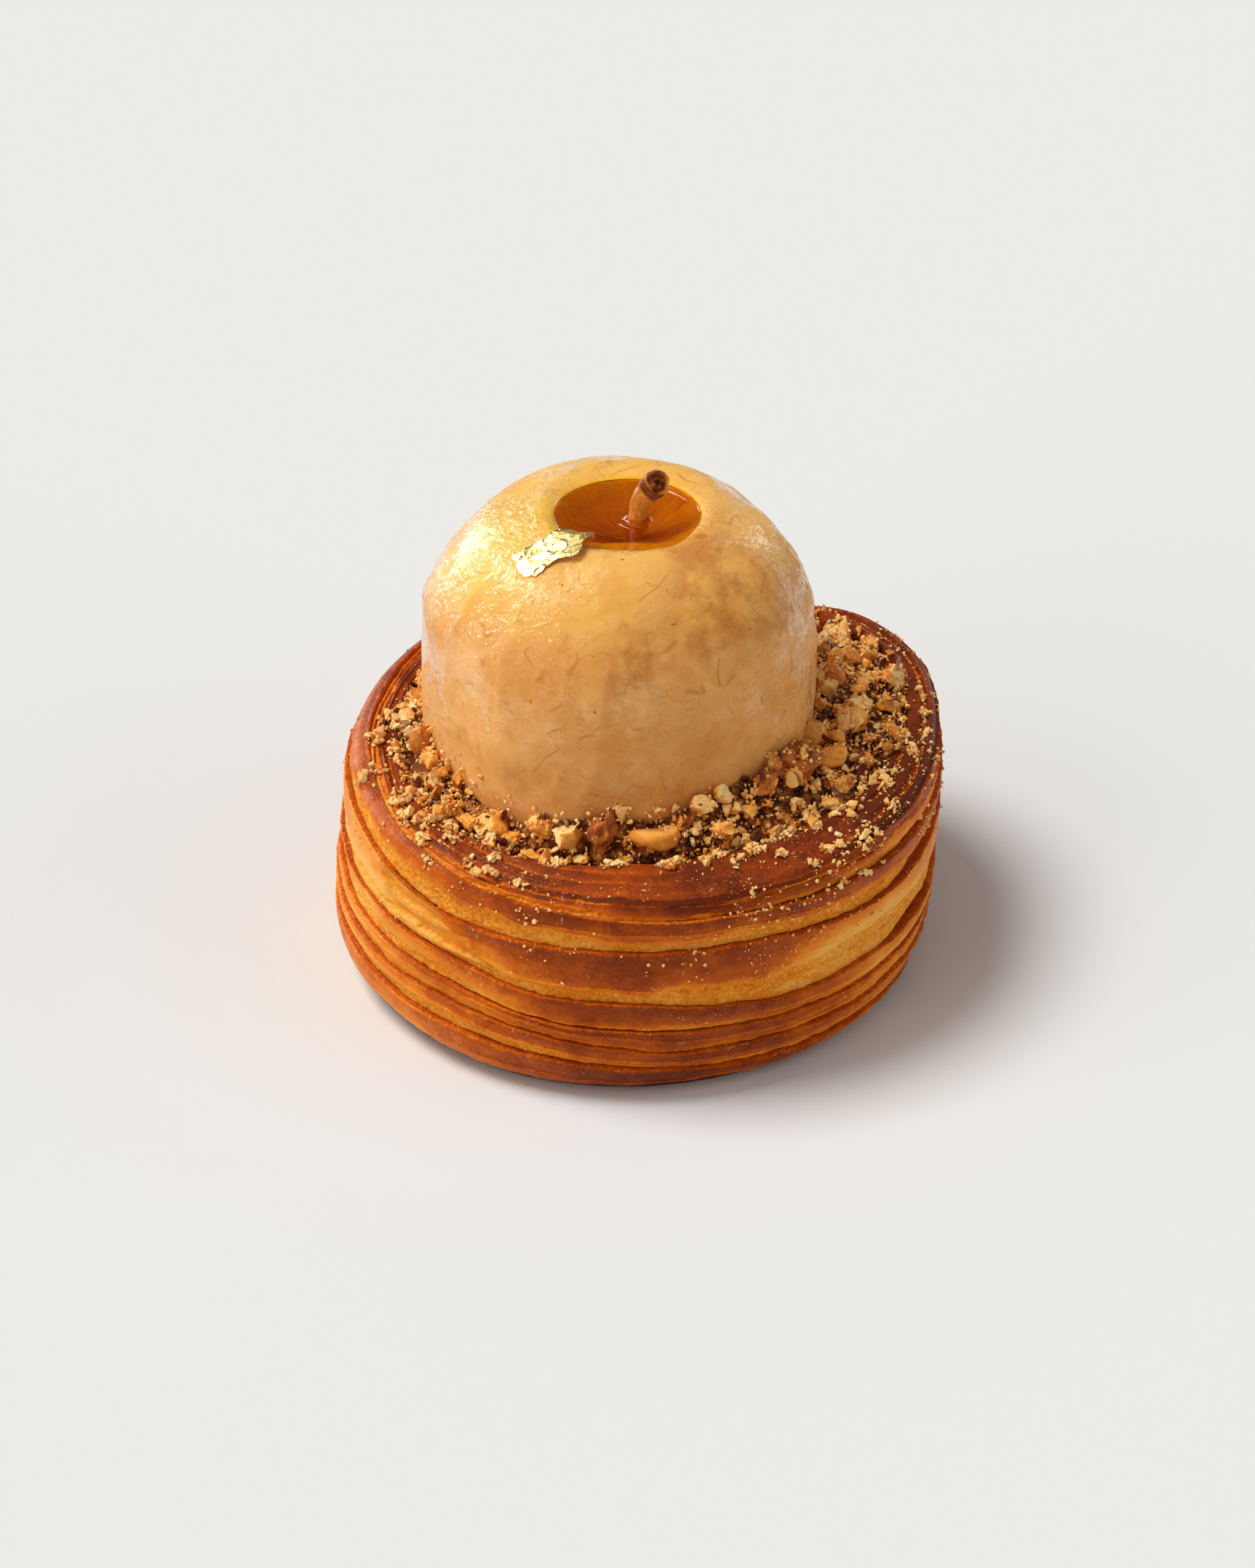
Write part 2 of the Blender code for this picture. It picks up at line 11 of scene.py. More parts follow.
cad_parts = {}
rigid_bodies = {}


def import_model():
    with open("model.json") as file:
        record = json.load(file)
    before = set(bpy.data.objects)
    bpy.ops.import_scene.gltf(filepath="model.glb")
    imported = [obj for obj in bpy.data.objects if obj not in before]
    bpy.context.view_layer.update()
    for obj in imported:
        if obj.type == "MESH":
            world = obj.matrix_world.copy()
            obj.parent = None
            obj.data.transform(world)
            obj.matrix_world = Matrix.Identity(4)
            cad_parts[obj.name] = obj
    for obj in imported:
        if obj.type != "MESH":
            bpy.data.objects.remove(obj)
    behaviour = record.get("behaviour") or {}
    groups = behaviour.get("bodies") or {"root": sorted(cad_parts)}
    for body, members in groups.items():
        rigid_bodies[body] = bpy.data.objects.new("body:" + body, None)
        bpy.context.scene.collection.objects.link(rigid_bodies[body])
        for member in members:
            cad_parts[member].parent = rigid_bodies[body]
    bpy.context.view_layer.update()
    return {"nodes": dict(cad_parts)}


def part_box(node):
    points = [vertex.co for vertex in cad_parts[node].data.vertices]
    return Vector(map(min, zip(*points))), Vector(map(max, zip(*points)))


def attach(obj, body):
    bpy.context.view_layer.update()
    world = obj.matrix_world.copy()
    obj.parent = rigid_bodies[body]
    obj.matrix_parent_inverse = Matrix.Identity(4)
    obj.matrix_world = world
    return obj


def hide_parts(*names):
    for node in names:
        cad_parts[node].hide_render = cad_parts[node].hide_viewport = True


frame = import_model()
print("frame loaded:", ", ".join(sorted(frame["nodes"])))

# Everything is worked out in millimetres, and made metres when it becomes a mesh.
mm = 0.001
syrupLow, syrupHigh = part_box("syrup")
hollowMiddle = np.array(((syrupLow.x + syrupHigh.x) / 2, (syrupLow.y + syrupHigh.y) / 2)) / mm


def ramp(value, start, stop):
    share = np.clip((value - start) / (stop - start), 0.0, 1.0)
    return share * share * (3.0 - 2.0 * share)


def apart(azimuth, middle):
    # degrees between two directions
    return np.abs((azimuth - middle + 180.0) % 360.0 - 180.0)


def hill(azimuth, middle, halfWidth):
    away = apart(azimuth, middle) / halfWidth
    return np.where(away < 1.0, 0.5 + 0.5 * np.cos(np.pi * np.minimum(away, 1.0)), 0.0)


def mottle(across, up, seed, cells=0):
    # smooth random values from -1 to 1 over a plane; with cells, they repeat after that many round the part
    column, row = np.floor(across), np.floor(up)
    partAcross, partUp = across - column, up - row
    partAcross = partAcross * partAcross * (3.0 - 2.0 * partAcross)
    partUp = partUp * partUp * (3.0 - 2.0 * partUp)

    def corner(right, above):
        i = (column + right).astype(np.int64)
        if cells:
            i = i % cells
        mixed = (i * 374761393 + (row + above).astype(np.int64) * 668265263 + seed * 1274126177) & 0xffffffff
        mixed = ((mixed ^ (mixed >> 13)) * 1103515245) & 0xffffffff
        return (mixed ^ (mixed >> 16)) / 2147483648.0 - 1.0

    low = corner(0, 0) * (1.0 - partAcross) + corner(1, 0) * partAcross
    high = corner(0, 1) * (1.0 - partAcross) + corner(1, 1) * partAcross
    return low * (1.0 - partUp) + high * partUp


def crags(azimuth, up, seed, width, height, octaves=3, reach=50.0):
    # layered mottle round the part; width and height are the size in mm of the largest lumps
    total, weight = 0.0, 1.0
    for octave in range(octaves):
        cells = max(3, round(2.0 * math.pi * reach / width * 2 ** octave))
        level = up / height * 2 ** octave
        total = total + weight * mottle(azimuth / 360.0 * cells, level, seed + octave, cells)
        weight *= 0.5
    return total / 1.6


def roundTable(azimuth, pairs):
    # a value all round the part from a few (azimuth, value) pairs, smoothed between them
    sample = np.arange(0.0, 360.0, 1.0)
    places, values = zip(*sorted(pairs))
    level = np.interp(sample, places, values, period=360.0)
    window = np.hanning(15)
    level = np.convolve(np.concatenate([level[-7:], level, level[:7]]), window / window.sum(), "valid")
    return np.interp(azimuth, sample, level, period=360.0)


def skinMesh(name, rings, fields, start=None, end=None, loop=False):
    # rings turn anticlockwise and climb; start and end close them with a point, loop joins last to first
    rows, columns = rings.shape[:2]
    points = rings.reshape(-1, 3)
    column = np.arange(columns)
    after = (column + 1) % columns
    steps = np.arange(rows if loop else rows - 1)
    low, high = (steps * columns)[:, None], ((steps + 1) % rows * columns)[:, None]
    faces = np.stack([low + column, low + after, high + after, high + column], -1).reshape(-1, 4).tolist()
    values = {key: np.broadcast_to(field, rings.shape[:2]).reshape(-1) for key, field in fields.items()}
    for pole, ring, flip in ((start, 0, False), (end, rows - 1, True)):
        if pole is None:
            continue
        tip, edge = len(points), ring * columns
        points = np.vstack([points, pole])
        for key in values:
            values[key] = np.append(values[key], values[key][edge:edge + columns].mean())
        pairs = (edge + column, edge + after) if flip else (edge + after, edge + column)
        faces += np.stack([np.full(columns, tip), *pairs], -1).tolist()
    mesh = bpy.data.meshes.new(name)
    mesh.from_pydata((points * mm).tolist(), [], faces)
    for key, field in values.items():
        mesh.attributes.new(key, "FLOAT", "POINT").data.foreach_set("value", field.astype(np.float32))
    mesh.shade_smooth()
    return mesh


def newObject(name, data, collection=None):
    made = bpy.data.objects.new(name, data)
    (collection or bpy.context.scene.collection).objects.link(made)
    return made


def addPiece(name, mesh, finish, slot, *nodes):
    mesh.materials.clear()
    mesh.materials.append(finish)
    piece = newObject(name, mesh)
    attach(piece, "root")
    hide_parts(*nodes)
    return piece


# Finishes

def newFinish(name):
    finish = bpy.data.materials.new(name)
    finish.use_nodes = True
    return finish, finish.node_tree, finish.node_tree.nodes["Principled BSDF"]


def feed(node, inputs):
    # a socket is linked to the input of that name or place, and anything else becomes the input's value
    for key, value in inputs.items():
        if isinstance(value, bpy.types.NodeSocket):
            node.id_data.links.new(value, node.inputs[key])
        else:
            node.inputs[key].default_value = value


def addNode(tree, kind, inputs=None, **settings):
    node = tree.nodes.new(kind)
    for key, value in settings.items():
        setattr(node, key, value)
    feed(node, inputs or {})
    return node


def objectPlace(tree):
    return addNode(tree, "ShaderNodeTexCoord").outputs["Object"]


def grain(tree, size, detail=3.0, roughness=0.55, distortion=0.0, place=None):
    # noise from 0 to 1 whose lumps are about size mm across
    inputs = {"Vector": objectPlace(tree) if place is None else place, "Scale": 0.6 / (size * mm),
              "Detail": detail, "Roughness": roughness, "Distortion": distortion}
    return addNode(tree, "ShaderNodeTexNoise", inputs).outputs["Fac"]


def field(tree, name):
    return addNode(tree, "ShaderNodeAttribute", attribute_name=name).outputs["Fac"]


def maths(tree, operation, *values, clamp=False):
    inputs = dict(enumerate(values))
    return addNode(tree, "ShaderNodeMath", inputs, operation=operation, use_clamp=clamp).outputs[0]


def times(tree, first, second):
    return maths(tree, "MULTIPLY", first, second)


def linear(tree, value, factor, start):
    return maths(tree, "MULTIPLY_ADD", value, factor, start)


def varied(tree, base, pattern, amount, middle=0.5, clamp=False):
    # base, moved up and down as the pattern lies above and below its middle
    away = maths(tree, "SUBTRACT", pattern, middle)
    return maths(tree, "MULTIPLY_ADD", away, amount, base, clamp=clamp)


def stretchTo(tree, value, fromLow, fromHigh, toLow=0.0, toHigh=1.0):
    return addNode(tree, "ShaderNodeMapRange", {
        "Value": value, "From Min": fromLow, "From Max": fromHigh, "To Min": toLow, "To Max": toHigh},
        interpolation_type="SMOOTHSTEP").outputs["Result"]


def tones(tree, value, stops):
    node = addNode(tree, "ShaderNodeValToRGB", {"Fac": value})
    bar = node.color_ramp
    while len(bar.elements) < len(stops):
        bar.elements.new(1.0)
    for element, (place, colour) in zip(bar.elements, stops):
        element.position = place
        element.color = (*colour, 1.0)
    return node.outputs["Color"]


def blendTo(tree, amount, under, over):
    over = over if isinstance(over, bpy.types.NodeSocket) else (*over, 1.0)
    return addNode(tree, "ShaderNodeMix", {0: amount, 6: under, 7: over}, data_type="RGBA").outputs[2]


def bumpFrom(tree, heights):
    # heights: (value, distance in mm) pairs, laid one over the other
    normal = None
    for value, distance in heights:
        inputs = {"Height": value, "Distance": distance * mm, "Strength": 1.0}
        if normal:
            inputs["Normal"] = normal
        normal = addNode(tree, "ShaderNodeBump", inputs).outputs["Normal"]
    return normal


crustLook = {
    "tones": [  # from the pale crumb inside to the darkest brown
        (0.0, (0.94, 0.46, 0.085)), (0.2, (0.89, 0.31, 0.024)), (0.4, (0.78, 0.20, 0.010)),
        (0.6, (0.53, 0.094, 0.005)), (0.8, (0.30, 0.046, 0.007)), (1.0, (0.13, 0.021, 0.007))],
    # down in the cracks the crust turns a dark deep orange: painted shade inside them
    "crack": (0.40, 0.088, 0.006),
    # colour of the painted highlight specks on the crumb
    "speck": (0.93, 0.66, 0.34),
}


def crustFinish():
    finish, tree, shader = newFinish("crust")
    toastAndShade, crumbly, crackShade = (field(tree, name) for name in ("toastAndShade", "crumbly", "crackShade"))
    lumps = grain(tree, 1.6, 4.0, 0.65)
    fine = grain(tree, 0.35, 3.0, 0.7)
    # strands follow the sheets of dough: short across the run, long round the part
    place = addNode(tree, "ShaderNodeSeparateXYZ", {"Vector": objectPlace(tree)}).outputs
    strands = []
    for size, squeeze in ((4.0, 7.0), (1.3, 4.5)):
        level = times(tree, field(tree, "run"), mm * squeeze)
        along = addNode(tree, "ShaderNodeCombineXYZ", {"X": place["X"], "Y": place["Y"], "Z": level})
        strands.append(grain(tree, size, 4.0, 0.6, place=along.outputs[0]))
    shade = toastAndShade
    for pattern, amount in ((grain(tree, 7.0, 2.0, 0.5), 0.42), (lumps, 0.42), (strands[0], 0.09),
                            (strands[1], 0.05), (fine, linear(tree, crumbly, 0.5, 0.26))):
        shade = varied(tree, shade, pattern, amount)
    # painted shade round each blister: paler on its middle, darker where blisters meet, where the bump dips
    blisters = addNode(tree, "ShaderNodeTexVoronoi", {
        "Vector": objectPlace(tree), "Scale": 1.0 / (0.7 * mm), "Smoothness": 0.7},
        feature="SMOOTH_F1").outputs["Distance"]
    shade = varied(tree, shade, blisters, linear(tree, crumbly, 0.30, 0.04), 0.42, clamp=True)
    colour = tones(tree, shade, crustLook["tones"])
    # pale specks over the crust: painted highlight glints on its crumb
    specks = stretchTo(tree, grain(tree, 0.32, 1.0, 0.4), 0.66, 0.73)
    specks = times(tree, specks, stretchTo(tree, grain(tree, 4.0), 0.48, 0.66, 0.0, 0.6))
    colour = blendTo(tree, specks, colour, crustLook["speck"])
    # painted shade: the colour goes dark deep orange down in the cracks
    colour = blendTo(tree, times(tree, crackShade, 0.85), colour, crustLook["crack"])
    bubbles = times(tree, blisters, linear(tree, crumbly, -0.8, -0.14))
    crumbHeight = times(tree, fine, linear(tree, crumbly, 0.9, 0.22))
    heights = [(lumps, 0.24), (strands[0], 0.05), (strands[1], 0.02), (bubbles, 0.24), (crumbHeight, 0.26)]
    feed(shader, {
        "Base Color": colour, "Roughness": linear(tree, crumbly, 0.42, linear(tree, lumps, 0.2, 0.30)),
        "Specular IOR Level": 0.16, "Specular Tint": (1.0, 0.60, 0.28, 1.0),
        "Normal": bumpFrom(tree, heights)})
    return finish


crust = crustFinish()

# The pastry. Its outline and layers are those of the solid; runs are mm up the outside from the base's edge.
pastry = {
    "columns": 840,
    "outline": [(0.0, 46.2), (0.8, 47.0), (3.0, 48.2), (8.0, 49.6), (14.0, 50.1), (20.0, 50.1), (26.0, 49.8),
                (31.0, 49.6), (34.5, 49.4), (36.8, 49.0), (38.2, 47.8), (38.8, 44.9), (38.6, 41.0)],
    "outlineSoftening": 2.4,
    "baseFromHollow": (0.9, -3.8), "rimShift": (1.8, 0.6), "rimRise": (0.8, 2.4, 1.6), "oval": (0.8, 0.6),
    "foot": [(0.0, 1.0, 0.99), (0.25, 0.65, 0.97), (0.8, 0.5, 0.95), (1.4, 0.7, 0.92)],  # run, inset, brown
    "footTop": 2.3, "footInset": 1.1, "highSide": 190.0, "droop": 0.9,
    "wellFloor": 23.2, "wellLip": 33.0, "wellTaper": 3.5, "seamDepth": 6.0,
    "wellRadius": (41.0, 3.2, 0.5, 2.0),  # all round, by sine, by cosine and by cosine twice round
    "leftWider": (196.0, 42.0, 3.6),  # azimuth, half width and mm by which the rim reaches further in
    "gape": (338.0, 17.0, 1.5),  # azimuth, half width and mm by which cracks open on the right,
    "gaping": ("second", "wide", "crest"),  # under these layers
    # mm by which the wall's upper part, its base and the rim's height depart from the even form, by azimuth
    "upperOut": [(0, -1.1), (22, 0.7), (42, 0.8), (66, -2.6), (88, -1.4), (112, 0), (160, -0.8), (190, -0.8),
                 (215, 0), (300, 0), (335, -0.5)],
    "baseOut": [(0, -0.3), (60, -0.5), (120, 0), (180, -0.3), (210, 0.5), (240, 1.0), (270, 1.3), (300, 1.0),
                (330, 0.5)],
    "rimUp": [(0, 0), (22, 0.1), (42, -1.3), (56, -3.4), (70, -4.6), (88, -3.0), (115, -0.5), (140, 0)],
}
baseMiddle = hollowMiddle + pastry["baseFromHollow"]
rimMiddle = baseMiddle + pastry["rimShift"]
around = np.arange(pastry["columns"]) * 360.0 / pastry["columns"]

# Layer: mean run and rise of its lip, the lip's stand-out, depth of the crack below, rows; how brown it is;
# nudge moves the lip and pale sets the share of it that is crumb, both by azimuth
layers = {
    "first": {"run": 7.2, "rise": 4.2, "stand": 0.5, "crack": 0.9, "rows": 22, "brown": 0.74,
              "fade": [(0, 0.2), (200, 0.3), (270, 0.15), (330, 0.2)],
              "nudge": [(0, 0), (200, -0.3), (250, -0.4), (290, -1.0), (320, -0.6)],
              "pale": [(0, 0.3), (200, 0.28), (250, 0.2), (300, 0.15)]},
    "second": {"run": 11.6, "rise": 4.2, "stand": 0.5, "crack": 1.1, "rows": 21, "brown": 0.72,
               "fade": [(0, 0.2), (200, 0.35), (270, 0.2), (330, 0.2)],
               "nudge": [(0, 0), (200, -0.4), (230, 0.6), (250, -0.3), (290, -1.2), (320, -0.4)],
               "pale": [(0, 0.3), (200, 0.32), (230, 0.38), (250, 0.4), (275, 0.3), (300, 0.24), (340, 0.3)]},
    "third": {"run": 15.2, "rise": 4.4, "stand": 0.4, "crack": 0.9, "rows": 19, "brown": 0.72,
              "fade": [(0, 0.2), (200, 0.35), (270, 0.2), (330, 0.2)],
              "nudge": [(0, 0), (200, 0.3), (230, 0.3), (252, -1.3), (270, -0.7), (300, -0.8), (320, 0)],
              "pale": [(0, 0.3), (200, 0.4), (230, 0.28), (250, 0.12), (270, 0.2), (300, 0.25), (340, 0.3)]},
    "fourth": {"run": 20.0, "rise": 5.0, "stand": 0.5, "crack": 0.8, "rows": 22, "brown": 0.70,
               "fade": [(0, 0.3), (200, 0.35), (240, 0.3), (262, 0.15), (300, 0.2), (330, 0.35)],
               "nudge": [(0, 0), (200, 0), (235, 0.1), (250, -1.1), (270, 0), (300, -1.6), (325, -0.5)],
               "pale": [(0, 0.35), (200, 0.55), (230, 0.42), (250, 0.12), (270, 0.15), (290, 0.28),
                        (320, 0.18)]},
    "wide": {"run": 30.5, "rise": 4.5, "stand": 0.6, "crack": 1.0, "rows": 54, "brown": 0.76,
             "fade": [(0, 0.5), (90, 0.35), (180, 0.4), (205, 0.6), (228, 0.5), (250, 0.35), (272, 0.25),
                      (290, 0.4), (320, 0.65)],
             "nudge": [(0, 0), (180, 0.8), (200, 1.2), (230, -2.0), (250, -1.3), (270, -0.4), (300, 0),
                       (325, -1.2)],
             "pale": [(0, 0.4), (60, 0.3), (150, 0.25), (200, 0.2), (245, 0.28), (265, 0.12), (290, 0.22),
                      (315, 0.5), (340, 0.42)]},
    "crest": {"run": 36.6, "rise": 4.6, "stand": 0.7, "crack": 1.0, "rows": 34, "brown": 0.81, "follows": 0.2,
              "fade": [(0, 0.35), (200, 0.25), (230, 0.3), (270, 0.3), (300, 0.45), (325, 0.6)],
              "nudge": [(0, 0), (200, 0.6), (230, -0.7), (250, -0.8), (285, -0.1), (325, -0.5)],
              "pale": [(0, 0.4), (90, 0.45), (185, 0.4), (205, 0.5), (230, 0.5), (250, 0.44), (270, 0.27),
                       (300, 0.4), (325, 0.36)]},
    "inner": {"run": 38.5, "rise": 4.1, "stand": 0.1, "crack": 1.0, "rows": 16, "brown": 0.8, "follows": 0.7,
              "fade": [(0, 0.2), (250, 0.2), (320, 0.3)],
              "nudge": [(0, 0), (230, -0.3), (260, 0), (320, 0.3)],
              "pale": [(0, 0.5), (200, 0.6), (250, 0.35), (320, 0.5)]},
    "rim": {"run": 40.2, "rise": 3.6, "stand": 0.35, "crack": 0.8, "rows": 13, "brown": 0.92, "follows": 0.3,
            "fade": [(0, 0.1), (270, 0.05)],
            "nudge": [(0, 0), (230, 0.2), (250, -0.6), (300, -0.2), (330, 0.3)],
            "pale": [(0, 0.3), (200, 0.42), (235, 0.36), (270, 0.2)]},
}
# How brown the dough is all round, added to each layer's own tone
browning = [(0, -0.10), (60, -0.03), (120, -0.06), (175, -0.26), (205, -0.42), (228, -0.22), (250, 0.04),
            (275, 0.15), (300, 0.04), (325, -0.32), (345, -0.28)]

outlineSteps = np.arange(0.0, 46.4, 0.1)


def softOutline():
    outline = np.array(pastry["outline"])
    runs = np.concatenate([[0.0], np.cumsum(np.hypot(*np.diff(outline, axis=0).T))])
    width = int(pastry["outlineSoftening"] / 0.1) | 1
    window = np.hanning(width + 2)[1:-1]
    sides = []
    for side in (1, 0):
        line = np.interp(outlineSteps, runs, outline[:, side])
        ends = [2.0 * line[0] - line[width // 2:0:-1], line, 2.0 * line[-1] - line[-2:-2 - width // 2:-1]]
        sides.append(np.convolve(np.concatenate(ends), window / window.sum(), "valid"))
    return sides


outlineRadius, outlineHeight = softOutline()


def rimRise(azimuth):
    allRound, alongX, alongY = pastry["rimRise"]
    turn = np.radians(azimuth)
    return allRound + alongX * np.cos(turn) + alongY * np.sin(turn) + roundTable(azimuth, pastry["rimUp"])


def ovalBy(azimuth):
    double = np.radians(2.0 * azimuth)
    return pastry["oval"][0] * np.cos(double) + pastry["oval"][1] * np.sin(double)


def formOut(azimuth, height):
    high = ramp(height, 4.0, 20.0)
    upper, base = (roundTable(azimuth, pastry[part]) for part in ("upperOut", "baseOut"))
    return upper * high + base * (1.0 - high)


def innerRadius(azimuth):
    turn = np.radians(azimuth)
    middle, half, wider = pastry["leftWider"]
    allRound, sine, cosine, twice = pastry["wellRadius"]
    narrower = np.minimum(roundTable(azimuth, pastry["upperOut"]), 0.0)
    narrower = narrower - wider * hill(azimuth, middle, half)
    wave = allRound + sine * np.sin(turn) + cosine * np.cos(turn) + twice * np.cos(2.0 * turn)
    return wave + 0.5 * narrower


def placed(radius, azimuth, height):
    # leaning and rising with the rim as the height grows
    turn = np.radians(azimuth)
    share = np.clip(height / 36.0, 0.0, 1.0)
    lean = share * share * (3.0 - 2.0 * share)
    radius = radius + ovalBy(azimuth) + formOut(azimuth, height)
    return np.stack([baseMiddle[0] + pastry["rimShift"][0] * lean + radius * np.cos(turn),
                     baseMiddle[1] + pastry["rimShift"][1] * lean + radius * np.sin(turn),
                     height + rimRise(azimuth) * share], -1)


def fromRimMiddle(radius, azimuth, height):
    turn = np.radians(azimuth)
    radius, turn, height = np.broadcast_arrays(radius, turn, height)
    return np.stack([rimMiddle[0] + radius * np.cos(turn), rimMiddle[1] + radius * np.sin(turn), height], -1)


def wallPoints(run, azimuth, proud):
    radius, height = (np.interp(run, outlineSteps, side) for side in (outlineRadius, outlineHeight))
    rise, out = (np.interp(run + 0.6, outlineSteps, side) - np.interp(run - 0.6, outlineSteps, side)
                 for side in (outlineHeight, outlineRadius))
    length = np.hypot(rise, out)
    return placed(radius + proud * rise / length, azimuth, height - proud * out / length)


def waver(cells, seed, level=0.0):
    # mottle round the pastry, in that many cells
    return mottle(around / 360.0 * cells, level, seed, cells)


def lipRun(name):
    layer, number = layers[name], list(layers).index(name)
    run = layer["run"] + layer["rise"] * np.cos(np.radians(around - pastry["highSide"]))
    run = run + roundTable(around, layer["nudge"])
    for size, cells, seed in ((0.38, 26, 31), (0.16, 90, 51), (0.09, 320, 61)):
        run = run + size * waver(cells, seed + number, 0.5)
    return run


def thinSheets(run, below, thick, number):
    # inside a band, the ragged edges of thin sheets: small steps with a pale edge; returns (out, paler)
    out, paler = 0.0, 0.0
    for k, share in enumerate(sheetEdges[number]):
        level = k * 5.0 + number * 17.0
        at = below + thick * share + 0.45 * waver(11, 601, level)
        at = at + 0.16 * waver(64, 611, level) + 0.09 * waver(260, 621, level)
        shown = ramp(waver(8, 631, level), -0.35, 0.15)
        away = run - at
        under = np.where(away < 0.0, np.clip(1.0 + away / 1.5, 0.0, 1.0), ramp(away, 0.2, 0.0))
        edge = np.exp(-((away + 0.05) / 0.18) ** 2) - 0.35 * np.exp(-((away - 0.3) / 0.25) ** 2)
        out = out + 0.22 * shown * under
        paler = paler + 0.6 * shown * edge
    return out, paler


# Where the thin sheets' edges run, as shares of each layer from the lowest up
sheetEdges = [(0.55,), (0.6,), (0.7,), (0.6,), (0.3, 0.62), (0.66,), (0.5,), (0.5,)]

tear = {"from": 215.0, "top": (231.0, 30.6), "foot": (244.5, 23.4)}  # azimuth and run of the torn band's edge
# Torn sheets of the wide layer: low and high run, from and to azimuth, stand-out, how brown
tornSheets = [(24.9, 27.5, 196.0, 241.0, -0.15, 0.04), (28.0, 30.3, 214.0, 237.0, -0.35, 0.10),
              (30.9, 32.6, 212.0, 230.0, -0.75, 0.16)]


def layerField(name, below, top):
    # rows of (run, proud, browning with painted crack shade, crumbly, painted crack shade) for one layer of
    # dough, from the crack at its foot to its lip
    layer, number = layers[name], list(layers).index(name)
    share = np.linspace(0.0, 1.0, layer["rows"])[:, None] ** 1.2
    thick = np.maximum(top - below, 0.8)
    run = below + share * thick
    middle, half, wider = pastry["gape"]
    gape = wider * hill(around, middle, half) if name in pastry["gaping"] else 0.0
    opened = 0.20 + 0.34 * mottle(around / 360.0 * 27, 0.0, 71 + number, 38) + gape
    opening = np.clip(opened / thick, 0.02, 0.5)
    wander = 0.08 * waver(60, 91 + number) + 0.13 * waver(13, 95 + number)
    pale = np.clip(roundTable(around, layer["pale"]) + wander, 0.08, 0.85)
    past = ramp(share, 0.25 * opening, opening)  # 0 down in the crack, 1 out of it
    ragged = 0.34 * crags(around, number * 3.0, 121 + number, 2.0, 1.0, 5) / thick
    banded = ramp(share, pale - 0.06 + ragged, pale + 0.07 + ragged)  # 0 in the crumb, 1 on the browned band
    belly = np.clip((share - pale) / (1.0 - pale), 0.0, 1.0)
    stand = np.minimum(layer["stand"], 0.3 * thick)
    depth = np.minimum(layer["crack"], 0.45 * thick) + 0.4 * gape
    crumbOut = -0.34 * depth - 0.15 * (1.0 - share / np.maximum(pale, 0.05)) * (1.0 - banded)
    bandOut = stand * (0.25 + 0.75 * belly ** 1.4)
    bandOut = bandOut + 0.26 * np.sin(np.pi * belly) * np.minimum(thick / 8.0, 1.0)
    jag = crags(around, number * 9.0, 131 + number, 2.6, 1.0, 4)
    edge = ramp(belly, 0.84, 1.0)
    proud = crumbOut + (bandOut - crumbOut) * banded + (0.12 + 0.20 * jag) * edge
    crumbly = np.clip((1.0 - banded) + 0.7 * ramp(belly, 0.93, 1.0), 0.0, 1.0)
    coarse = crags(around, run, 151, 1.5, 0.8, 3)
    proud = proud + crumbly * 0.20 * coarse + 0.14 * crags(around, run, 161, 9.0, 4.0, 3)
    sheetOut, sheetPale = thinSheets(run, below, thick, number)
    proud = proud + sheetOut * ramp(belly, 1.0, 0.85)
    proud = -depth + (proud + depth) * past
    brown = layer["brown"] + layer.get("follows", 1.0) * roundTable(around, browning)
    brown = brown + 0.12 * ramp(below, 5.0, 2.0)
    fade = roundTable(around, layer["fade"])
    toastAndShade = brown - fade * (1.0 - belly) ** 1.3 + 0.10 * crags(around, run, 181 + number, 14.0, 3.2, 3)
    toastAndShade = toastAndShade + 0.10 * crags(around, run, 191, 26.0, 9.0, 2) - 0.30 * np.clip(sheetPale, -0.3, 1.0)
    lipPaleness = 0.5 + 0.5 * waver(34, 171 + number)  # how pale the lip's edge is
    toastAndShade = toastAndShade - 0.16 * (1.0 - ramp(belly, 0.0, 0.25)) - (0.03 + 0.22 * lipPaleness) * ramp(belly, 0.94, 1.0)
    crumbTone = 0.14 + 0.12 * coarse + 0.16 * ramp(share, 0.0, pale) * ramp(brown, 0.5, 0.9)
    toastAndShade = crumbTone + (toastAndShade - crumbTone) * banded
    crumbly = np.clip(crumbly + 0.5 * np.clip(sheetPale, 0.0, 1.0), 0.0, 1.0)
    soft = hill(around, 200.0, 75.0) * (name in ("inner", "rim"))  # grooves of pale crumb at the rim's left
    # painted shade down in the crack, kept light in the pale-crumb grooves at the rim's left
    crackShade = (1.0 - past) * (1.0 - 0.85 * soft)
    if name == "wide":
        proud, toastAndShade, crumbly, crackShade = tearOpen(run, proud, toastAndShade, crumbly, crackShade)
        golden = hill(around, 318.0, 28.0) * ramp(run, 29.5, 24.0)
        toastAndShade = toastAndShade - 0.22 * golden * banded
    # painted shade: the dough is made browner down in the crack
    toastAndShade = toastAndShade + 0.3 * (1.0 - past) * (1.0 - 1.1 * soft)
    return run, proud, toastAndShade, crumbly, crackShade


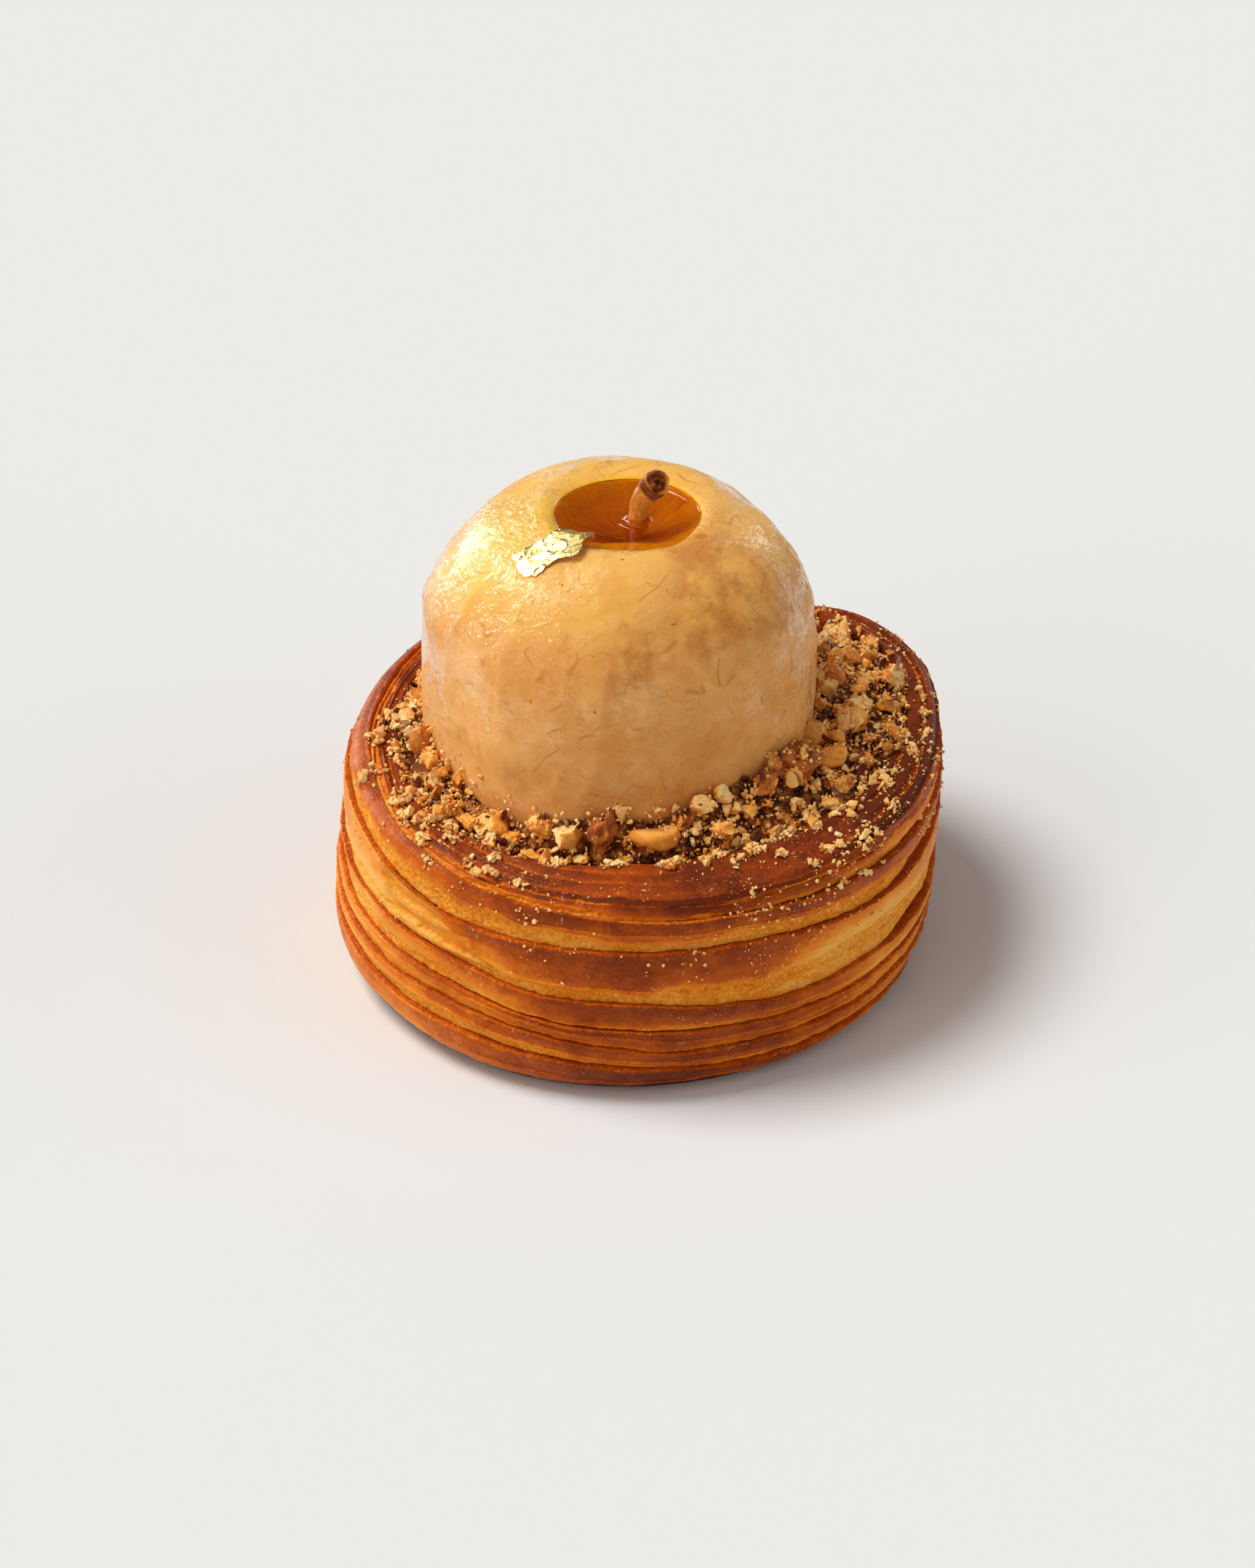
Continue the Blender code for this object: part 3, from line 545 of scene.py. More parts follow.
def tearOpen(run, proud, toastAndShade, crumbly, crackShade):
    # the band is torn away left of a slanting edge, and thin pale sheets show under it
    (topAt, topRun), (footAt, footRun) = tear["top"], tear["foot"]
    wobble = 0.8 * mottle(run * 1.3, 0.0, 203) + 0.5 * mottle(run * 4.0, 0.0, 204)
    edgeAt = topAt + (footAt - topAt) * (topRun - run) / (topRun - footRun) + wobble
    inside = ramp(around, tear["from"] - 2.0, tear["from"] + 1.0) * ramp(edgeAt - around, 0.0, 0.7)
    inside = inside * ramp(run, 24.4, 24.9)
    proud = proud + (-0.85 - proud) * inside
    toastAndShade = toastAndShade + (0.14 - toastAndShade) * inside
    lifted = ramp(edgeAt - around, -3.5, 0.0) * (1.0 - inside) * ramp(run, 24.0, 25.5) * ramp(run, 31.5, 30.5)
    proud = proud + 0.35 * lifted * (around < 250.0) * (around > 226.0)
    for number, (low, high, start, stop, stand, tone) in enumerate(tornSheets):
        drift = 0.045 * (around - start) + 0.35 * mottle(around / 3.0, 0.0, 211 + number)
        drift = drift + 0.15 * mottle(around * 1.3, 0.0, 221 + number)
        low, high = low - 0.3 * drift, high - drift
        held = ramp(run, low, low + 0.45) * ramp(run, high + 0.12, high - 0.06)
        held = held * ramp(around, start, start + 2.0) * ramp(around, stop, stop - 2.5)
        reach = stand + 0.35 * ramp(run, low, high) + 0.12 * crags(around, run, 231 + number, 3.0, 1.2, 3)
        proud = proud + (reach - proud) * held
        toastAndShade = toastAndShade + (tone + 0.08 * crags(around, run, 241, 5.0, 0.9, 2) - toastAndShade) * held
        crumbly = crumbly + (0.45 - crumbly) * held
        crackShade = crackShade * (1.0 - held)
    # painted shade in the deep parts of the tear
    crackShade = np.maximum(crackShade * (1.0 - 0.6 * inside), 0.25 * inside * (proud < -0.8))
    return proud, toastAndShade, crumbly, crackShade


lipTurn = ((0.10, 0.12), (0.12, 0.45), (-0.02, 1.1))  # mm up the wall and back from the lip's top


def rowOf(*values):
    # one row round the pastry: run, proud, browning with painted crack shade, crumbly and painted crack shade
    return [np.broadcast_to(value, around.shape) for value in values]


def lipEdge(name, top):
    # the lip's thin edge turning over into the crack above it, with painted shade deepening as it drops
    stand = layers[name]["stand"]
    return [rowOf(top + along, stand - drop, 0.60, 0.6, 0.2 * drop) for along, drop in lipTurn]


def stacked(parts):
    return [np.vstack([np.atleast_2d(part[k]) for part in parts]) for k in range(5)]


def layerStack(names, below):
    parts = []
    for name in names:
        top = lipRun(name)
        parts.append(layerField(name, below, top))
        parts += lipEdge(name, top)
        below = top - 0.15
    return stacked(parts), below


# How thickly crumbs lie: on the wall and on the rim by azimuth, and on the rim's inner edge
dusting = {
    "wall": [(0, 1.1), (60, 0.5), (150, 0.3), (210, 0.4), (240, 1.1), (270, 1.4), (300, 2.0), (320, 3.0),
             (340, 2.4)],
    "rim": [(0, 1.6), (60, 1.5), (120, 1.0), (185, 1.2), (208, 1.7), (224, 1.3), (238, 0.7), (255, 0.3),
            (285, 0.5), (305, 1.0), (322, 1.5), (335, 1.8)],
    "spill": [(0, 1.8), (60, 1.4), (120, 1.1), (180, 2.8), (200, 2.2), (215, 1.5), (228, 0.9), (240, 0.4),
              (262, 0.25), (285, 0.6), (310, 1.5), (335, 1.9)],
}


def wallRings(parts):
    run, proud, toastAndShade, crumbly, crackShade = parts
    sag = 0.22 * crags(around, run, 101, 24.0, 14.0, 2)
    rings = wallPoints(run, np.broadcast_to(around, run.shape), proud + sag)
    fallen = roundTable(around, dusting["wall"]) * ramp(run, 20.0, 34.0)
    fallen = fallen * ramp(crags(around, run, 105, 12.0, 6.0, 3), -0.1, 0.5)
    ledge = ramp(proud, -0.2, 0.4) * (0.25 + 0.75 * crumbly)
    crumbs = np.clip(fallen * ledge + 0.04 * ledge, 0.0, 1.0)
    return rings, {"toastAndShade": toastAndShade, "crumbly": crumbly, "crackShade": crackShade, "run": run, "crumbs": crumbs}


def hiddenRing(run, inset):
    return wallPoints(run, around, -inset)[None]


def closedBehind(rings, fields, hidden):
    # adds rings that no one sees, to close a piece behind its neighbour
    fields = {key: np.vstack([value] + [value[-1:]] * len(hidden)) for key, value in fields.items()}
    fields["crumbs"][-len(hidden):] = 0.0
    return np.concatenate([rings, *hidden]), fields


def makeLowerLayers():
    foot = pastry["footTop"] + 0.5 * crags(around, 0.0, 111, 5.0, 1.0, 3)
    parts = []
    for run, inset, tone in pastry["foot"]:
        wave = 0.15 * crags(around, run * 3.0, 113, 2.5, 1.0, 3)
        parts.append(rowOf(run, wave - inset, tone, 0.5, 0.0))
    # the step in under the first layer, with a little painted shade
    parts.append(rowOf(foot - 0.5, -pastry["footInset"], 0.9, 0.5, 0.2))
    layered, _ = layerStack(["first", "second", "third", "fourth"], foot - 0.4)
    rings, fields = wallRings(stacked(parts + [layered]))
    rings[0, :, 2] = 0.0
    hidden = [hiddenRing(lipRun("fourth") - 0.2, pastry["seamDepth"])]
    rings, fields = closedBehind(rings, fields, hidden)
    start, end = np.array((*baseMiddle, 0.0)), np.array((*baseMiddle, 18.0))
    return skinMesh("lowerLayers", rings, fields, start, end)


def makeUpperLayers():
    below = lipRun("fourth") - 0.15
    layered, _ = layerStack(["wide", "crest"], below)
    rings, fields = wallRings(layered)
    hidden = [hiddenRing(run, pastry["seamDepth"]) for run in (lipRun("crest") - 0.4, below)]
    rings, fields = closedBehind(rings, fields, hidden)
    return skinMesh("upperLayers", rings, fields, loop=True)


coil = {
    "height": 1.3, "rows": 72, "topSteps": 110,  # topSteps: tenths of a mm of the outline that make its top
    "spacing": [(0, 3.2), (60, 2.9), (120, 2.8), (170, 2.7), (205, 2.9), (232, 3.1), (260, 2.9), (320, 3.2)],
    "shown": [(0, 1.0), (120, 0.9), (205, 1.0), (232, 0.75), (250, 0.32), (275, 0.08), (300, 0.05),
              (322, 0.3), (340, 0.9)],
    "brown": [(0, 0.90), (90, 0.78), (170, 0.82), (205, 0.84), (235, 0.82), (262, 0.77), (300, 0.92),
              (325, 1.02), (345, 0.98)],
    "spillFrom": 0.64, "spillOut": ((328.0, 40.0, 0.24), (183.0, 34.0, 0.36), (215.0, 18.0, 0.14)),
}


def rimTop():
    # from the rim's lip across its browned top to the well's edge: turns of the coil show as ridges
    start = lipRun("rim")
    radius, height = (np.interp(start, outlineSteps, side) for side in (outlineRadius, outlineHeight))
    inner = innerRadius(around) + 0.45 * waver(30, 301)
    share = np.linspace(0.0, 1.0, coil["rows"])[:, None][1:]
    across = radius + (inner - radius) * share
    inward = radius - across
    topRadius, topHeight = (side[::-1][:coil["topSteps"]] for side in (outlineRadius, outlineHeight))
    over = np.minimum(np.interp(across, topRadius, topHeight), height + 2.0)
    level = over + (height - over) * ramp(share, 0.08, 0.0)
    level = level - pastry["droop"] * ramp(share, 0.75, 1.0)
    phase = inward / roundTable(around, coil["spacing"]) - around / 360.0 + 0.35
    part = (phase + 0.12 * waver(18, 303, inward / 3.0)) % 1.0
    shown = roundTable(around, coil["shown"]) * ramp(inward, 0.2, 1.2)
    ridge = ramp(part, 0.04, 0.34) * ramp(part, 1.0, 0.80) * (0.75 + 0.25 * np.sin(np.pi * part))
    level = level + coil["height"] * shown * (ridge - 0.8) + 0.25 * (1.0 - shown) * np.sin(np.pi * share)
    level = level + 0.14 * crags(around, inward, 305, 7.0, 4.0, 3)
    turned = part + 0.06 * crags(around, inward, 311, 3.0, 2.0, 3)
    gap = shown * (1.0 - ramp(turned, 0.10, 0.28) * ramp(part, 1.0, 0.93))
    toastAndShade = roundTable(around, coil["brown"]) + 0.06 * crags(around, inward, 321, 10.0, 6.0, 3)
    toastAndShade = toastAndShade + 0.04 * np.sin(np.pi * share) - 0.50 * gap + 0.06 * ramp(share, 0.9, 1.0)
    points = placed(across, np.broadcast_to(around, across.shape), level)
    clumps = ramp(crags(around, inward, 331, 9.0, 5.0, 3), -0.35, 0.45)
    crumbs = roundTable(around, dusting["rim"]) * (0.25 + 0.75 * clumps) * (0.35 + 1.3 * gap)
    crumbs = np.clip(crumbs, 0.0, 1.0) * ramp(share, 0.0, 0.1)
    spread = coil["spillFrom"]
    for middle, half, wider in coil["spillOut"]:
        spread = spread - wider * hill(around, middle, half)
    spill = roundTable(around, dusting["spill"]) * ramp(share, spread, spread + 0.33) * (0.3 + 0.8 * clumps)
    # painted shade down in the grooves between the coil's turns
    fields = {"toastAndShade": toastAndShade, "crumbly": np.clip(0.12 + 0.8 * gap, 0.0, 1.0),
              "crackShade": 0.30 * gap * ramp(part, 0.12, 0.0), "run": 42.0 + 0.12 * inward, "crumbs": crumbs,
              "spill": np.clip(spill, 0.0, 1.0)}
    return points, fields


def wellReach(azimuth, height):
    share = np.clip((pastry["wellLip"] - height) / (pastry["wellLip"] - pastry["wellFloor"]), 0.0, 1.0)
    return innerRadius(azimuth) + ovalBy(azimuth) - pastry["wellTaper"] * (0.2 + 0.8 * share)


def makeRim():
    below = lipRun("crest") - 0.15
    layered, _ = layerStack(["inner", "rim"], below)
    layered = [part[:-len(lipTurn)] for part in layered]  # the rim's own lip turns into its top instead
    rings, fields = wallRings(layered)
    top, topFields = rimTop()
    edge = top[-1]
    lip, floor = (fromRimMiddle(wellReach(around, level), around, level)
                  for level in (pastry["wellLip"], pastry["wellFloor"]))
    inward = []
    for share in (0.12, 0.3, 0.5, 0.75, 1.0):
        place = edge + (lip - edge) * np.array((share ** 1.6, share ** 1.6, share))
        place[:, 2] += 0.35 * math.sin(math.pi * share)
        inward.append(place)
    inward.append(floor)
    under = fromRimMiddle(38.0, around, pastry["wellFloor"] - 1.5)[None]
    hidden = hiddenRing(below - 1.0, pastry["seamDepth"])
    rings = np.concatenate([under, hidden, rings, top, inward])
    fields["spill"] = np.zeros_like(fields["run"])
    for key, value in fields.items():
        kept = key not in ("crumbs", "spill")  # nothing is scattered where it can't be seen
        rows = [value[:1] * kept] * 2 + [value, topFields[key]] + [topFields[key][-1:] * kept] * len(inward)
        fields[key] = np.vstack(rows)
    start = np.array((*rimMiddle, pastry["wellFloor"] - 1.5))
    end = np.array((*rimMiddle, pastry["wellFloor"]))
    return skinMesh("rimCoil", rings, fields, start, end)


pastryPieces = [addPiece(name, make(), crust, "pastry_crust", "pastry")
                for name, make in (("lowerLayers", makeLowerLayers), ("upperLayers", makeUpperLayers),
                                   ("rimCoil", makeRim))]
print("pastry:", [len(piece.data.polygons) for piece in pastryPieces], "faces")

# The apple
apple = {
    "fromHollow": (-1.3, 0.0), "waist": 42.65, "radius": 33.1,
    "above": (39.3, 2.83), "below": (19.0, 2.1),  # reach and roundness above and below the waist
    "facets": ((5, 0.009, 40.0), (3, 0.007, 115.0), (8, 0.004, 10.0)),
    "edges": (206, 233, 261, 299, 329, 2, 38, 74, 112, 147, 178),  # where the knife's flats meet
    "edgeHeight": 0.6,
    "shoulders": [(192, 1.9), (225, 0.7), (270, 0.0), (330, 0.3), (350, 0.9), (5, 0.3), (25, -1.0),
                  (60, -0.8), (120, 0.6), (160, 1.6)],
    "shift": 1.3, "shiftFrom": 60.0, "shoulder": 15.5,
    "hollow": [(14.0, 80.55), (12.5, 80.0), (11.4, 78.3), (8.7, 75.2), (5.2, 72.7), (2.4, 71.3)],
    "hollowBottom": 71.1, "syrupLevel": 79.6,
    "narrowed": (0.03, 0.13), "back": -0.65,  # the hollow is an oval, a little wider than deep
    "shelf": (0.27, 270.0, 80.0),  # at the front its wall starts with a shallow shelf
    "columns": 420,
}
appleMiddle = hollowMiddle + apple["fromHollow"]


def hollowRing(radius, azimuth):
    inside, low = ramp(radius, 15.5, 12.4), ramp(radius, 12.3, 11.2)
    depth, middle, half = apple["shelf"]
    corners = 0.05 * hill(azimuth, 232.0, 32.0) + 0.05 * hill(azimuth, 308.0, 32.0)
    reach = radius * (1.0 - depth * low * hill(azimuth, middle, half) + corners * inside)
    turn = np.radians(azimuth)
    x = reach * np.cos(turn) * (1.0 - apple["narrowed"][0] * inside)
    y = reach * np.sin(turn) * (1.0 - apple["narrowed"][1] * inside) + apple["back"] * inside
    return hollowMiddle[0] + x, hollowMiddle[1] + y


def appleAxis(height):
    share = np.clip((height - apple["shiftFrom"]) / (apple["syrupLevel"] - apple["shiftFrom"]), 0.0, 1.0)
    return appleMiddle[0] + apple["shift"] * share, appleMiddle[1]


def appleRadius(height, azimuth):
    (above, abovePower), (below, belowPower) = apple["above"], apple["below"]
    high = height > apple["waist"]
    share = np.clip(np.abs(height - apple["waist"]) / np.where(high, above, below), 0.0, 1.0)
    power = np.where(high, abovePower, belowPower)
    facets = sum(depth * np.cos(np.radians(count * (azimuth - start)))
                 for count, depth, start in apple["facets"])
    return apple["radius"] * (1.0 - share ** power) ** (1.0 / power) * (1.0 + facets)


def reachToApple(azimuth, height, gap=0.0):
    turn = np.radians(azimuth)
    away = rimMiddle - appleMiddle
    along = away[0] * np.cos(turn) + away[1] * np.sin(turn)
    aside = away[1] * np.cos(turn) - away[0] * np.sin(turn)
    facing = azimuth
    for _ in range(3):
        radius = appleRadius(height, facing) + gap
        reach = np.sqrt(np.maximum(radius * radius - aside * aside, 0.0))
        facing = azimuth + np.degrees(np.arctan2(aside, reach))
    return reach - along


appleLook = {
    "flesh": [(0.0, (0.60, 0.215, 0.036)), (0.35, (0.79, 0.355, 0.085)), (0.6, (0.90, 0.465, 0.148)),
              (1.0, (0.99, 0.71, 0.33))],
    "yellow": (0.93, 0.54, 0.075), "brown": (0.57, 0.198, 0.032), "vein": (0.56, 0.18, 0.020),
    "amber": [(0.0, (0.96, 0.60, 0.05)), (0.3, (0.88, 0.43, 0.012)), (0.65, (0.78, 0.26, 0.002)),
              (1.0, (0.36, 0.070, 0.001))],
    "speck": (0.20, 0.05, 0.015), "veinSize": 9.0, "veinWidth": 0.020,
    # Brown bruises: azimuth, height, size up and down in degrees and mm, strength
    "bruises": [(272, 69.5, 9, 4.5, 0.9), (300, 72, 10, 4, 0.5), (287, 73, 8, 5, 0.5), (232, 62, 10, 6, 0.45),
                (238, 47, 6, 3.5, 0.5), (310, 74, 14, 4, 0.45), (60, 60, 14, 8, 0.5), (120, 66, 10, 5, 0.5),
                (160, 50, 10, 7, 0.4), (150, 76, 12, 3, 0.6), (172, 74, 9, 4, 0.6), (105, 79, 14, 2, 0.5),
                (66, 77, 16, 3, 0.6), (36, 72, 12, 3, 0.7), (352, 70, 9, 3, 0.5), (200, 55, 7, 9, 0.3),
                (20, 48, 8, 5, 0.35), (340, 66, 9, 4, 0.3), (95, 48, 8, 6, 0.4)],
    # How thickly crumbs stick to its foot, by azimuth
    "crumbs": [(0, 0.4), (180, 0.3), (245, 0.08), (275, 0.5), (300, 1.2), (325, 0.6), (345, 0.4)],
}


def fleshFinish():
    finish, tree, shader = newFinish("peeledFlesh")
    bruiseAndShade, ripe, amber, streak, soaked = (
        field(tree, name) for name in ("bruiseAndShade", "ripe", "amber", "streak", "wet"))
    pores = grain(tree, 1.3, 3.0, 0.6)
    tone = varied(tree, 0.47, grain(tree, 9.0, 4.0, 0.6), 1.0)
    tone = varied(tree, tone, grain(tree, 3.0, 3.0, 0.6), 0.6)
    colour = tones(tree, varied(tree, tone, pores, 0.5), appleLook["flesh"])
    colour = blendTo(tree, times(tree, ripe, 0.85), colour, appleLook["yellow"])
    # the bruises' brown, with painted shade on the lower front
    mottled = times(tree, bruiseAndShade, stretchTo(tree, grain(tree, 3.0, 3.0), 0.3, 0.6))
    colour = blendTo(tree, times(tree, mottled, 0.8), colour, appleLook["brown"])
    # thin curved threads follow the level lines of warped noise, and finer ones the borders of warped cells
    curves = grain(tree, 8.5, 1.5, 0.5, distortion=0.7)
    away = [maths(tree, "ABSOLUTE", maths(tree, "SUBTRACT", curves, level)) for level in (0.46, 0.57)]
    threads = times(tree, stretchTo(tree, maths(tree, "MINIMUM", *away), 0.0, 0.011, 1.0, 0.0),
                    stretchTo(tree, grain(tree, 4.2, 2.0, 0.6), 0.53, 0.60))
    warp = addNode(tree, "ShaderNodeTexNoise", {"Vector": objectPlace(tree), "Scale": 170.0, "Detail": 3.0})
    shifted = addNode(tree, "ShaderNodeVectorMath", {0: warp.outputs["Color"], 1: (0.013, 0.013, 0.013)},
                      operation="MULTIPLY")
    place = addNode(tree, "ShaderNodeVectorMath", {0: objectPlace(tree), 1: shifted.outputs[0]})
    cells = addNode(tree, "ShaderNodeTexVoronoi", {
        "Vector": place.outputs[0], "Scale": 1.0 / (appleLook["veinSize"] * mm)}, feature="DISTANCE_TO_EDGE")
    veins = stretchTo(tree, cells.outputs["Distance"], 0.0, appleLook["veinWidth"], 1.0, 0.0)
    veins = times(tree, veins, stretchTo(tree, grain(tree, 3.0, 2.0), 0.46, 0.58))
    veins = maths(tree, "MAXIMUM", veins, threads)
    veins = times(tree, veins, stretchTo(tree, amber, 0.0, 0.1, 0.68, 0.0))
    colour = blendTo(tree, veins, colour, appleLook["vein"])
    specks = stretchTo(tree, grain(tree, 0.8, 1.0, 0.3), 0.80, 0.82)
    colour = blendTo(tree, times(tree, specks, 0.7), colour, appleLook["speck"])
    # the syrup's amber stain, darkened deeper in the hollow as painted shade
    deep = tones(tree, maths(tree, "MULTIPLY_ADD", streak, 0.09, amber, clamp=True), appleLook["amber"])
    colour = blendTo(tree, stretchTo(tree, amber, 0.02, 0.10), colour, deep)
    # glaze lies in torn patches: wet and shiny there, dull where it has soaked in
    glaze = stretchTo(tree, linear(tree, soaked, 0.16, grain(tree, 4.5, 7.0, 0.72)), 0.575, 0.635)
    film = times(tree, glaze, linear(tree, grain(tree, 0.8, 3.0, 0.6), 1.4, 0.3))
    heights = [(pores, 0.05), (grain(tree, 5.0, 4.0, 0.6), 0.5), (film, 0.05)]
    wet = [(grain(tree, 6.0, 3.0, 0.55), 0.6), (grain(tree, 0.7, 2.0, 0.6), 0.75)]
    feed(shader, {
        "Base Color": colour, "Roughness": linear(tree, glaze, -0.42, 0.58),
        "Specular IOR Level": 0.28, "Specular Tint": (1.0, 0.86, 0.58, 1.0),
        "Subsurface Weight": 0.35, "Subsurface Radius": (1.0, 0.5, 0.22), "Subsurface Scale": 0.004,
        "Coat Weight": linear(tree, glaze, 0.72, 0.16), "Coat Roughness": 0.08, "Coat IOR": 1.45,
        "Normal": bumpFrom(tree, heights), "Coat Normal": bumpFrom(tree, wet)})
    return finish


def turns(columns):
    return np.arange(columns) * 360.0 / columns


def appleOutline():
    # the outside's heights, whose radius is appleRadius's, then radius and height down into the hollow
    above, power = apple["above"]
    shoulder = (1.0 - (apple["shoulder"] / apple["radius"]) ** power) ** (1.0 / power)
    lift = np.sin(np.radians(np.linspace(-80.0, 0.0, 34)[:-1]))
    climb = np.sin(np.radians(np.linspace(0, 90, 120)))
    outside = apple["waist"] + np.concatenate([lift * apple["below"][0], above * shoulder * climb])
    radii = np.array([apple["shoulder"]] + [radius for radius, _ in apple["hollow"]] + [0.9])
    heights = np.array([outside[-1]] + [height for _, height in apple["hollow"]] + [apple["hollowBottom"]])
    along = np.concatenate([[0.0], np.cumsum(np.hypot(np.diff(radii), np.diff(heights)))])
    step = np.linspace(0.0, along[-1], 78)[1:]
    window = np.hanning(9)[1:-1] / np.hanning(9)[1:-1].sum()
    inward = []
    for line in (radii, heights):
        fineLine = np.interp(step, along, line)
        padded = np.concatenate([[fineLine[0]] * 3, fineLine, [fineLine[-1]] * 3])
        inward.append(np.convolve(padded, window, "valid"))
    return outside, inward


def appleRelief(azimuth, grid):
    # flats left by the knife run up and down, and the cooked flesh is softly dented
    relief = -0.38 * np.ones_like(grid)
    for number, edge in enumerate(apple["edges"]):
        level = grid / 9.0 + number * 7.0
        at = edge + 0.14 * (grid - 50.0) * (-1) ** number + 2.5 * mottle(level, 0.0, 401)
        held = 0.65 + 0.5 * mottle(level * 0.6, 0.0, 405)
        relief = relief + apple["edgeHeight"] * held * np.exp(-apart(azimuth, at) / 5.5)
    relief = relief * ramp(grid, 79.0, 71.0)
    relief = relief + 0.42 * crags(azimuth, grid, 411, 16.0, 16.0, 2, 33.0)
    relief = relief + 0.14 * crags(azimuth, grid, 421, 4.5, 4.5, 3, 33.0)
    frayed = hill(azimuth, 8.0, 48.0) * ramp(grid, 60.0, 66.0) * ramp(grid, 80.0, 77.0)  # torn by the peeler
    relief = relief + 0.42 * frayed * np.maximum(crags(azimuth, grid, 425, 2.2, 1.8, 3, 28.0), -0.2)
    shoulders = roundTable(azimuth, apple["shoulders"]) * ramp(grid, 57.0, 67.0) * ramp(grid, 80.2, 77.0)
    return relief + shoulders


def appleFields(azimuth, grid, depth, ribs):
    # where the flesh is bruised, with painted shade on its lower front, ripe, wet or stained by the syrup,
    # with painted shade deeper in the hollow, and where crumbs stick
    bruiseAndShade = sum(strength * np.exp(-(apart(azimuth, at) / wide) ** 2 - ((grid - height) / tall) ** 2)
                 for at, height, wide, tall, strength in appleLook["bruises"])
    # painted shade: the front is darkened, more so toward the bottom
    front = 0.40 + 0.36 * ramp(grid, 54.0, 40.0)
    bruiseAndShade = bruiseAndShade + front * hill(azimuth, 272.0, 56.0) * ramp(grid, 77.0, 68.0)
    bruiseAndShade = bruiseAndShade + 1.15 * hill(azimuth, 316.0, 40.0) * ramp(grid, 64.0, 72.0)
    ripe = (0.34 + 0.66 * hill(azimuth, 140.0, 150.0)) * ramp(grid, 68.0, 76.0)
    ripe = ripe * (0.9 + 0.5 * crags(azimuth, grid, 451, 9.0, 3.0, 2, 20.0))
    ripe = ripe + 0.35 * ramp(grid, 63.0, 73.0) * hill(azimuth, 190.0, 50.0)
    wet = ramp(grid, 50.0, 64.0) * (0.25 + 0.75 * hill(azimuth, 205.0, 75.0)) + 0.15 * ramp(grid, 66.0, 74.0)
    wet = wet + 0.45 * hill(azimuth, 345.0, 40.0) + 0.4 * hill(azimuth, 195.0, 45.0)
    # painted shade in the hollow: the syrup-stained flesh grows darker with depth and toward its front-left
    # side
    dark = 0.7 + 0.35 * hill(azimuth, 225.0, 80.0)
    bruiseAndShade, ripe, wet = (np.clip(value, 0.0, 1.0) for value in (bruiseAndShade, ripe, wet))
    return {"bruiseAndShade": bruiseAndShade, "ripe": ripe, "wet": wet,
            "amber": np.where(depth > 0.0, 0.27 + 0.73 * depth * dark, 0.0),
            "streak": 0.7 * ribs + crags(azimuth, grid, 461, 0.5, 3.0, 3, 12.0),
            "crumbs": ramp(grid, 46.0, 42.5) * roundTable(azimuth, appleLook["crumbs"])}


def makeApple():
    azimuth = turns(apple["columns"])
    turn = np.radians(azimuth)
    heights, (inRadii, inHeights) = appleOutline()
    radii = appleRadius(heights[:, None], azimuth[None])
    hollow = np.arange(len(heights) + len(inHeights)) >= len(heights)  # rows from the shoulder inwards
    radii = np.vstack([radii, np.repeat(inRadii[:, None], apple["columns"], 1)])
    heights = np.concatenate([heights, inHeights])
    grid = np.broadcast_to(heights[:, None], radii.shape)
    radii = radii + appleRelief(azimuth, grid) * ~hollow[:, None] * ramp(grid, 26.0, 34.0)
    depth = np.where(hollow, np.clip((apple["syrupLevel"] + 0.55 - heights) / 8.0, 0.0, 1.0), 0.0)[:, None]
    ribs = crags(azimuth, 0.0, 431, 0.9, 1.0, 3, 12.0)
    radii = radii + np.where(depth > 0, 0.12 * ribs * np.minimum(depth * 6.0, 1.0), 0.0)
    nearRim = hollow[:, None] * ramp(radii, 8.0, 11.5)
    radii = radii + 0.35 * crags(azimuth, 0.0, 435, 7.0, 1.0, 2, 12.0) * nearRim * 0.6
    axisX, axisY = appleAxis(grid)
    rings = np.stack([axisX + radii * np.cos(turn), axisY + radii * np.sin(turn), grid], -1)
    rings[hollow, :, 0], rings[hollow, :, 1] = hollowRing(radii[hollow], azimuth)
    crest = 0.25 * crags(azimuth, 0.0, 441, 9.0, 1.0, 2, 14.0)
    rings[hollow, :, 2] += crest * ramp(radii[hollow], 10.0, 13.5)
    start = np.array((*appleMiddle, apple["waist"] - apple["below"][0]))
    end = np.array((*hollowMiddle, apple["hollowBottom"]))
    return skinMesh("peeledApple", rings, appleFields(azimuth, grid, depth, ribs), start, end)


flesh = fleshFinish()
applePiece = addPiece("peeledApple", makeApple(), flesh, "apple_flesh", "apple")
print("apple:", len(applePiece.data.polygons), "faces")

# Syrup in the stem hollow
syrup = {
    "columns": 160, "rows": 70, "edge": 12.35, "meniscus": 0.45, "stalkAt": (1.7, -1.7), "stalkRadius": 1.95,
}


def syrupFinish():
    finish, tree, shader = newFinish("amberSyrup")
    feed(shader, {"Base Color": (0.95, 0.62, 0.10, 1.0), "Transmission Weight": 1.0, "Roughness": 0.03,
                  "IOR": 1.42, "Normal": bumpFrom(tree, [(grain(tree, 4.0, 2.0), 0.10)])})
    return finish


